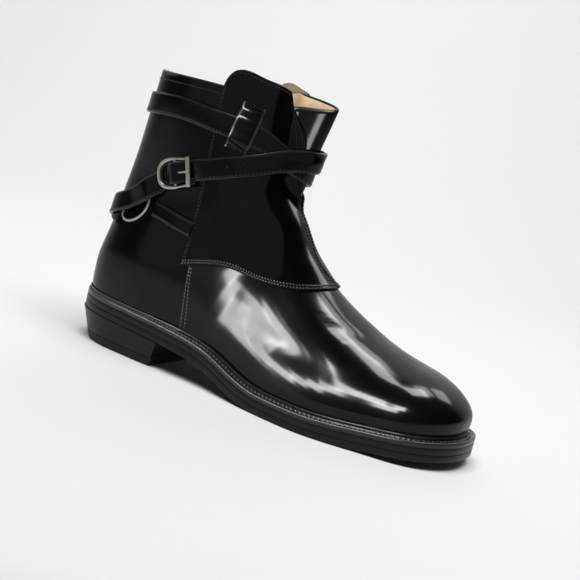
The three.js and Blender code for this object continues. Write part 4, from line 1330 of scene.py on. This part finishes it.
def makeUpperStitches():
    shape, seams = Shape(), Shape()
    down = np.linspace(0, 1, 160)
    for side in (-1, 1):
        for inset in (1.7, 4.1):
            sewPanel(shape, side, np.full(160, inset / panel["width"]), lerp(0.02, 0.965, down), pitch=2.5)
        sewPanel(shape, side, lerp(0.03, 0.97, down), np.full(160, 1 - 2.2 / panel["height"]), pitch=2.4)
        for inset, slant in ((1.5, 0.7), (3.1, -0.7)):
            run = lerp(0.01, 0.985, down)
            up = np.full(160, inset / panel["height"])
            sewPanel(seams, side, run, up, pitch=2.1, length=1.9, radius=0.44, rise=0.15, slant=slant)
        for inset in (1.5, 3.3):
            rise = lerp(0.03, 0.95 if side < 0 else 0.9, down)
            run = np.full(160, 1 - inset / panel["width"])
            sewPanel(shape, side, run, rise, pitch=2.3, length=1.8, radius=0.36)
    at = np.linspace(0.035, 0.4, 60)
    for share in (2.0 / 520, 5.0 / 520):
        sewVamp(seams, np.full(60, share), at, pitch=2.4)
        sewVamp(seams, np.full(60, 1 - share), at, pitch=2.4)
    collar = onUpper(ringPoints(np.full(300, 0.982), np.linspace(1.06, 2 * math.pi - 1.2, 300)))
    sew(shape, collar, outwardsAt(collar), pitch=2.4)
    return shape.build("upper_stitches", [threadLook]), seams.build("seam_stitches", [threadLook])


def makeStrapStitches():
    shape = Shape()
    inner = strap.stations[(strap.stations > 96) & (strap.stations < 798)]
    edge = strapSize["width"] / 2 - 1.9
    sew(shape, strap.line(edge, strapSize["thickness"], inner), strap.outs(inner), pitch=2.7)
    for strip, first, last in ((keeper, 1.2, 3.2), (keeper, 33.8, 35.8)):
        for at in (first, last):
            offs = np.linspace(-6, 6, 14)
            points = np.stack([strip.line(off, 1.8, np.array([at]))[0] for off in offs])
            sew(shape, points, strip.outs(np.full(14, at)), pitch=2.1, length=1.7, radius=0.38)
    for strip in (frontTab, backTab):
        for off in (-3.6, 3.6):
            sew(shape, strip.line(off, 1.8), strip.outs(), pitch=2.3, length=1.8, radius=0.36)
    return shape.build("strap_stitches", [threadLook])


# Punched holes: a shallow cup with a slightly raised lip, floored by a matte black disc that stands for the
# black leather beneath, with painted shade for the hole's depth
strapHoles = {"at": (755, 764.7, 793), "radius": 1.0, "lip": 0.25, "off": 0.4, "proud": 0.12}


def makeStrapHoles():
    shape = Shape()
    turn = 2 * np.pi * np.arange(20) / 20
    for at in strapHoles["at"]:
        station = np.array([float(at)])
        rise = strapSize["thickness"] + strapHoles["proud"]
        centre, out = strap.line(strapHoles["off"], rise, station)[0], strap.outs(station)[0]
        along = unit(strap.line(strapHoles["off"], rise, station + 0.5)[0] - centre)
        side = np.cross(out, along)
        lip, rings = strapHoles["lip"], []
        for reach, rise in ((1.5, -0.14), (1.25, 0.5 * lip), (1.1, lip), (1, 0), (0.9, -0.1)):
            circle = along * np.cos(turn)[:, None] + side * np.sin(turn)[:, None]
            rings.append(centre + circle * reach * strapHoles["radius"] + out * rise)
        shape.sheet(np.stack(rings), 0, closedColumns=True)
        shape.cap(rings[-1], 1)
    return shape.build("strap_holes", [strapLeather, holeShade], sharp=60)


# Loose thread ends: where each starts, which way it runs and how it curls
threadRows = table(
    "x y z alongX alongY alongZ curl",
    [
        (19, -18, 196, 2.4, 0.2, 0.7, 0.6), (22, -21, 196, 2.8, 0.6, 0.5, -0.5),
        (26, -24, 196, 2.0, -0.3, 0.9, 0.5), (172, 6, 86.5, 1.6, -1.2, 1.8, 0.6),
        (173, 8, 86, 2.2, 0.8, 1.0, -0.7), (171, 3, 87.5, -0.8, -1.4, 2.2, 0.5),
        (174, 9, 85.2, 2.0, 0.4, -0.6, 0.5),
    ],
)


def makeLooseThreads():
    shape = Shape()
    share = np.linspace(0, 1, 12)[:, None]
    for x, y, z, *along, curl in zip(*threadRows.values()):
        run = np.array(along)
        bend = unit(np.cross(run, [0.2, 0.3, 1.0])) * curl
        points = np.array([x, y, z]) + run * share + bend * np.sin(2.4 * share)
        wire(shape, points, 0.17, sides=6, hint=np.array([0.3, 0.9, 0.1]))
    return shape.build("loose_threads", [threadLook])


def makeWeltStitches():
    shape = Shape()
    seam = soleRow(lambda x: lerp(lipFoot, sideMargin(x), 0.43), above(soleLine, -0.1 * sole["lip"]))
    seam = np.vstack([seam, seam[:1]])
    outs = np.broadcast_to([0.0, 0, 1], seam.shape)
    sew(shape, seam, outs, pitch=3.2, length=2.5, radius=0.85, rise=0.15)
    return shape.build("welt_stitches", [threadLook])


for piece in makeUpperStitches():
    place(piece, "upper")
place(makeStrapStitches(), "strap")
place(makeStrapHoles(), "strap")
place(makeLooseThreads(), "upper")
place(makeWeltStitches(), "welt")
print("stitches made")

# Floor and backdrop in one sweep, soft lights, and the photograph's own viewing angle
camera = {
    "azimuth": 24.693,
    "elevation": 9.2565,
    "roll": 14.482,
    "distance": 0.754776,
    "aim": (0.0033675, -0.001553, 0.0750824),
    "lens": 69.3,
}


# The way to something by azimuth (0 is the boot's outer side, a quarter turn its toe) and elevation
def lyingAt(azimuth, elevation):
    level = math.cos(elevation)
    return Vector((math.sin(azimuth) * level, -math.cos(azimuth) * level, math.sin(elevation)))


def makeCamera():
    azimuth, elevation, roll = (math.radians(camera[k]) for k in ("azimuth", "elevation", "roll"))
    back = lyingAt(azimuth, elevation)
    right = (-back).cross(Vector((0, 0, 1))).normalized()
    up = right.cross(-back)
    turnedRight = right * math.cos(roll) + up * math.sin(roll)
    turnedUp = up * math.cos(roll) - right * math.sin(roll)
    stand = Matrix((turnedRight, turnedUp, back)).transposed().to_4x4()
    stand.translation = Vector(camera["aim"]) + back * camera["distance"]
    data = bpy.data.cameras.new("camera")
    data.lens, data.sensor_width, data.clip_start = camera["lens"], 36, 0.01
    holder = bpy.data.objects.new("camera", data)
    bpy.context.scene.collection.objects.link(holder)
    holder.matrix_world = stand
    bpy.context.scene.camera = holder
    return back


towardsCamera = makeCamera()

stage = {"near": 3.0, "far": 1.6, "bend": 0.9, "height": 3.2, "half": 4.0, "colour": (0.8, 0.802, 0.806, 1)}
# Towards the camera the floor is painted darker, from shadeFrom to shadeTo metres out: painted shade, so the
# leather reflects a dark floor there
stage.update({"shade": (0.3, 0.3, 0.305, 1), "shadeFrom": 0.34, "shadeTo": 0.55})


def makeStage():
    profile = [(-stage["near"], 0.0), (0.6, 0.0)]
    profile += [
        (stage["far"] - stage["bend"] + stage["bend"] * math.sin(t), stage["bend"] * (1 - math.cos(t)))
        for t in np.linspace(0, math.pi / 2, 24)
    ]
    profile.append((stage["far"], stage["height"]))
    away = np.array([-towardsCamera.x, -towardsCamera.y, 0])
    away = away / np.linalg.norm(away)
    side = np.array([-away[1], away[0], 0])
    points, faces = [], []
    for run, rise in profile:
        for edge in (-stage["half"], stage["half"]):
            points.append(away * run + side * edge + np.array([0, 0, rise]))
    for i in range(len(profile) - 1):
        faces.append((2 * i, 2 * i + 1, 2 * i + 3, 2 * i + 2))
    mesh = bpy.data.meshes.new("floor")
    mesh.from_pydata(points, [], faces)
    mesh.polygons.foreach_set("use_smooth", np.ones(len(faces), bool))
    floor = bpy.data.objects.new("floor", mesh)
    bpy.context.scene.collection.objects.link(floor)
    finish = Finish("pale_paper", Roughness=0.9)
    values = {0: finish.place, 1: tuple(away)}
    across = finish.node("ShaderNodeVectorMath", {"operation": "DOT_PRODUCT"}, values, out=1)
    # Painted shade: the floor's colour darkens towards the camera
    shade = finish.spread(across, -stage["shadeTo"], -stage["shadeFrom"])
    finish.drive("Base Color", finish.mix(shade, stage["shade"], stage["colour"]))
    floor.data.materials.append(finish.material)


makeStage()


# Lights are placed by azimuth and elevation from the boot, in degrees
def areaLight(name, azimuth, elevation, distance, size, power, colour=(1, 1, 1), aim=(0, 0, 0.08)):
    data = bpy.data.lights.new(name, "AREA")
    data.shape, data.size, data.size_y = "RECTANGLE", size[0], size[1]
    data.energy, data.color = power, colour
    holder = bpy.data.objects.new(name, data)
    bpy.context.scene.collection.objects.link(holder)
    way = lyingAt(math.radians(azimuth), math.radians(elevation))
    holder.location = Vector(aim) + way * distance
    holder.rotation_euler = way.to_track_quat("Z", "Y").to_euler()
    return holder


# Each group of lights reaches only the pieces that it is meant for
def lightGroup(name, pieces):
    group = bpy.data.collections.new(name)
    for piece in pieces:
        group.objects.link(piece)
    return group


floor = bpy.data.objects["floor"]
dressed = [piece for piece in bpy.context.scene.objects if piece.type == "MESH" and piece is not floor]
frontNames = "vamp seam_stitches welt_strip welt_stitches keeper".split()
frontGroup = lightGroup("front_lit", [bpy.data.objects[name] for name in frontNames])
bootGroup = lightGroup("boot_lit", dressed)
floorGroup = lightGroup("floor_lit", [floor])

# A soft band of light low over the boot's outer side, seen in the vamp, its seam stitches, the welt and the
# keeper
band = {"distance": 1.5, "width": 0.35, "length": 0.32, "power": 14}
bandRows = table(
    "azimuth elevation share",
    [
        (-44, 0, 0.7), (-33, 8, 0.75), (-22, 14, 0.75), (-9, 19.5, 0.9), (4, 27, 0.9), (13, 37, 1.0),
        (151, 79, 0.45), (152, 67, 0.45),
    ],
)
for i, (azimuth, elevation, share) in enumerate(zip(*(rows.tolist() for rows in bandRows.values()))):
    size, power = (band["width"], band["length"]), band["power"] * share
    light = areaLight("band_%d" % i, azimuth, elevation, band["distance"], size, power)
    light.light_linking.receiver_collection = frontGroup

# Dimmer cards behind the boot, then a top card for all but the vamp and lights for the other pieces
cardRows = [
    ("rear_card", 160, 60, 1.5, (0.4, 0.4), 4),
    ("rim_card", 158, 40, 1.5, (0.4, 0.4), 3),
    ("back_card", -80, 22, 1.5, (0.8, 0.8), 2.2),
]
for name, azimuth, elevation, distance, size, power in cardRows:
    light = areaLight(name, azimuth, elevation, distance, size, power)
    light.light_linking.receiver_collection = bootGroup
upperGroup = lightGroup("all_but_vamp", [piece for piece in dressed if piece.name != "vamp"])
topCard = areaLight("top_card", -10, 72, 1.5, (0.5, 0.4), 11)
topCard.light_linking.receiver_collection = upperGroup
restGroup = lightGroup("rest_lit", [piece for piece in dressed if piece.name not in frontNames])
frontCard = areaLight("front_card", 14, 15, 1.3, (4.2, 1.5), 7.5)
frontCard.light_linking.receiver_collection = restGroup
shellGroup = lightGroup("shell_lit", [bpy.data.objects["upper_shell"]])
liningLight = areaLight("lining_light", 15, 52, 1.5, (0.4, 0.4), 14, aim=(-0.05, 0, 0.19))
gussetLight = areaLight("gusset_light", 14, -7, 0.45, (0.1, 0.12), 0.6, aim=(-0.02, -0.01, 0.185))
gussetLight.visible_camera = False
for light in (liningLight, gussetLight):
    light.light_linking.receiver_collection = shellGroup
sweepLight = areaLight("sweep_light", 25, 45, 2.2, (2.0, 1.4), 66, aim=(-0.5, 1.1, 0.6))
sweepLight.light_linking.receiver_collection = floorGroup

world = bpy.data.worlds.new("studio")
bpy.context.scene.world = world
world.use_nodes = True
world.node_tree.nodes["Background"].inputs["Color"].default_value = (0.95, 0.97, 1, 1)
world.node_tree.nodes["Background"].inputs["Strength"].default_value = 0.04
bpy.context.scene.view_settings.view_transform = "Standard"
print("stage, lights and camera set")
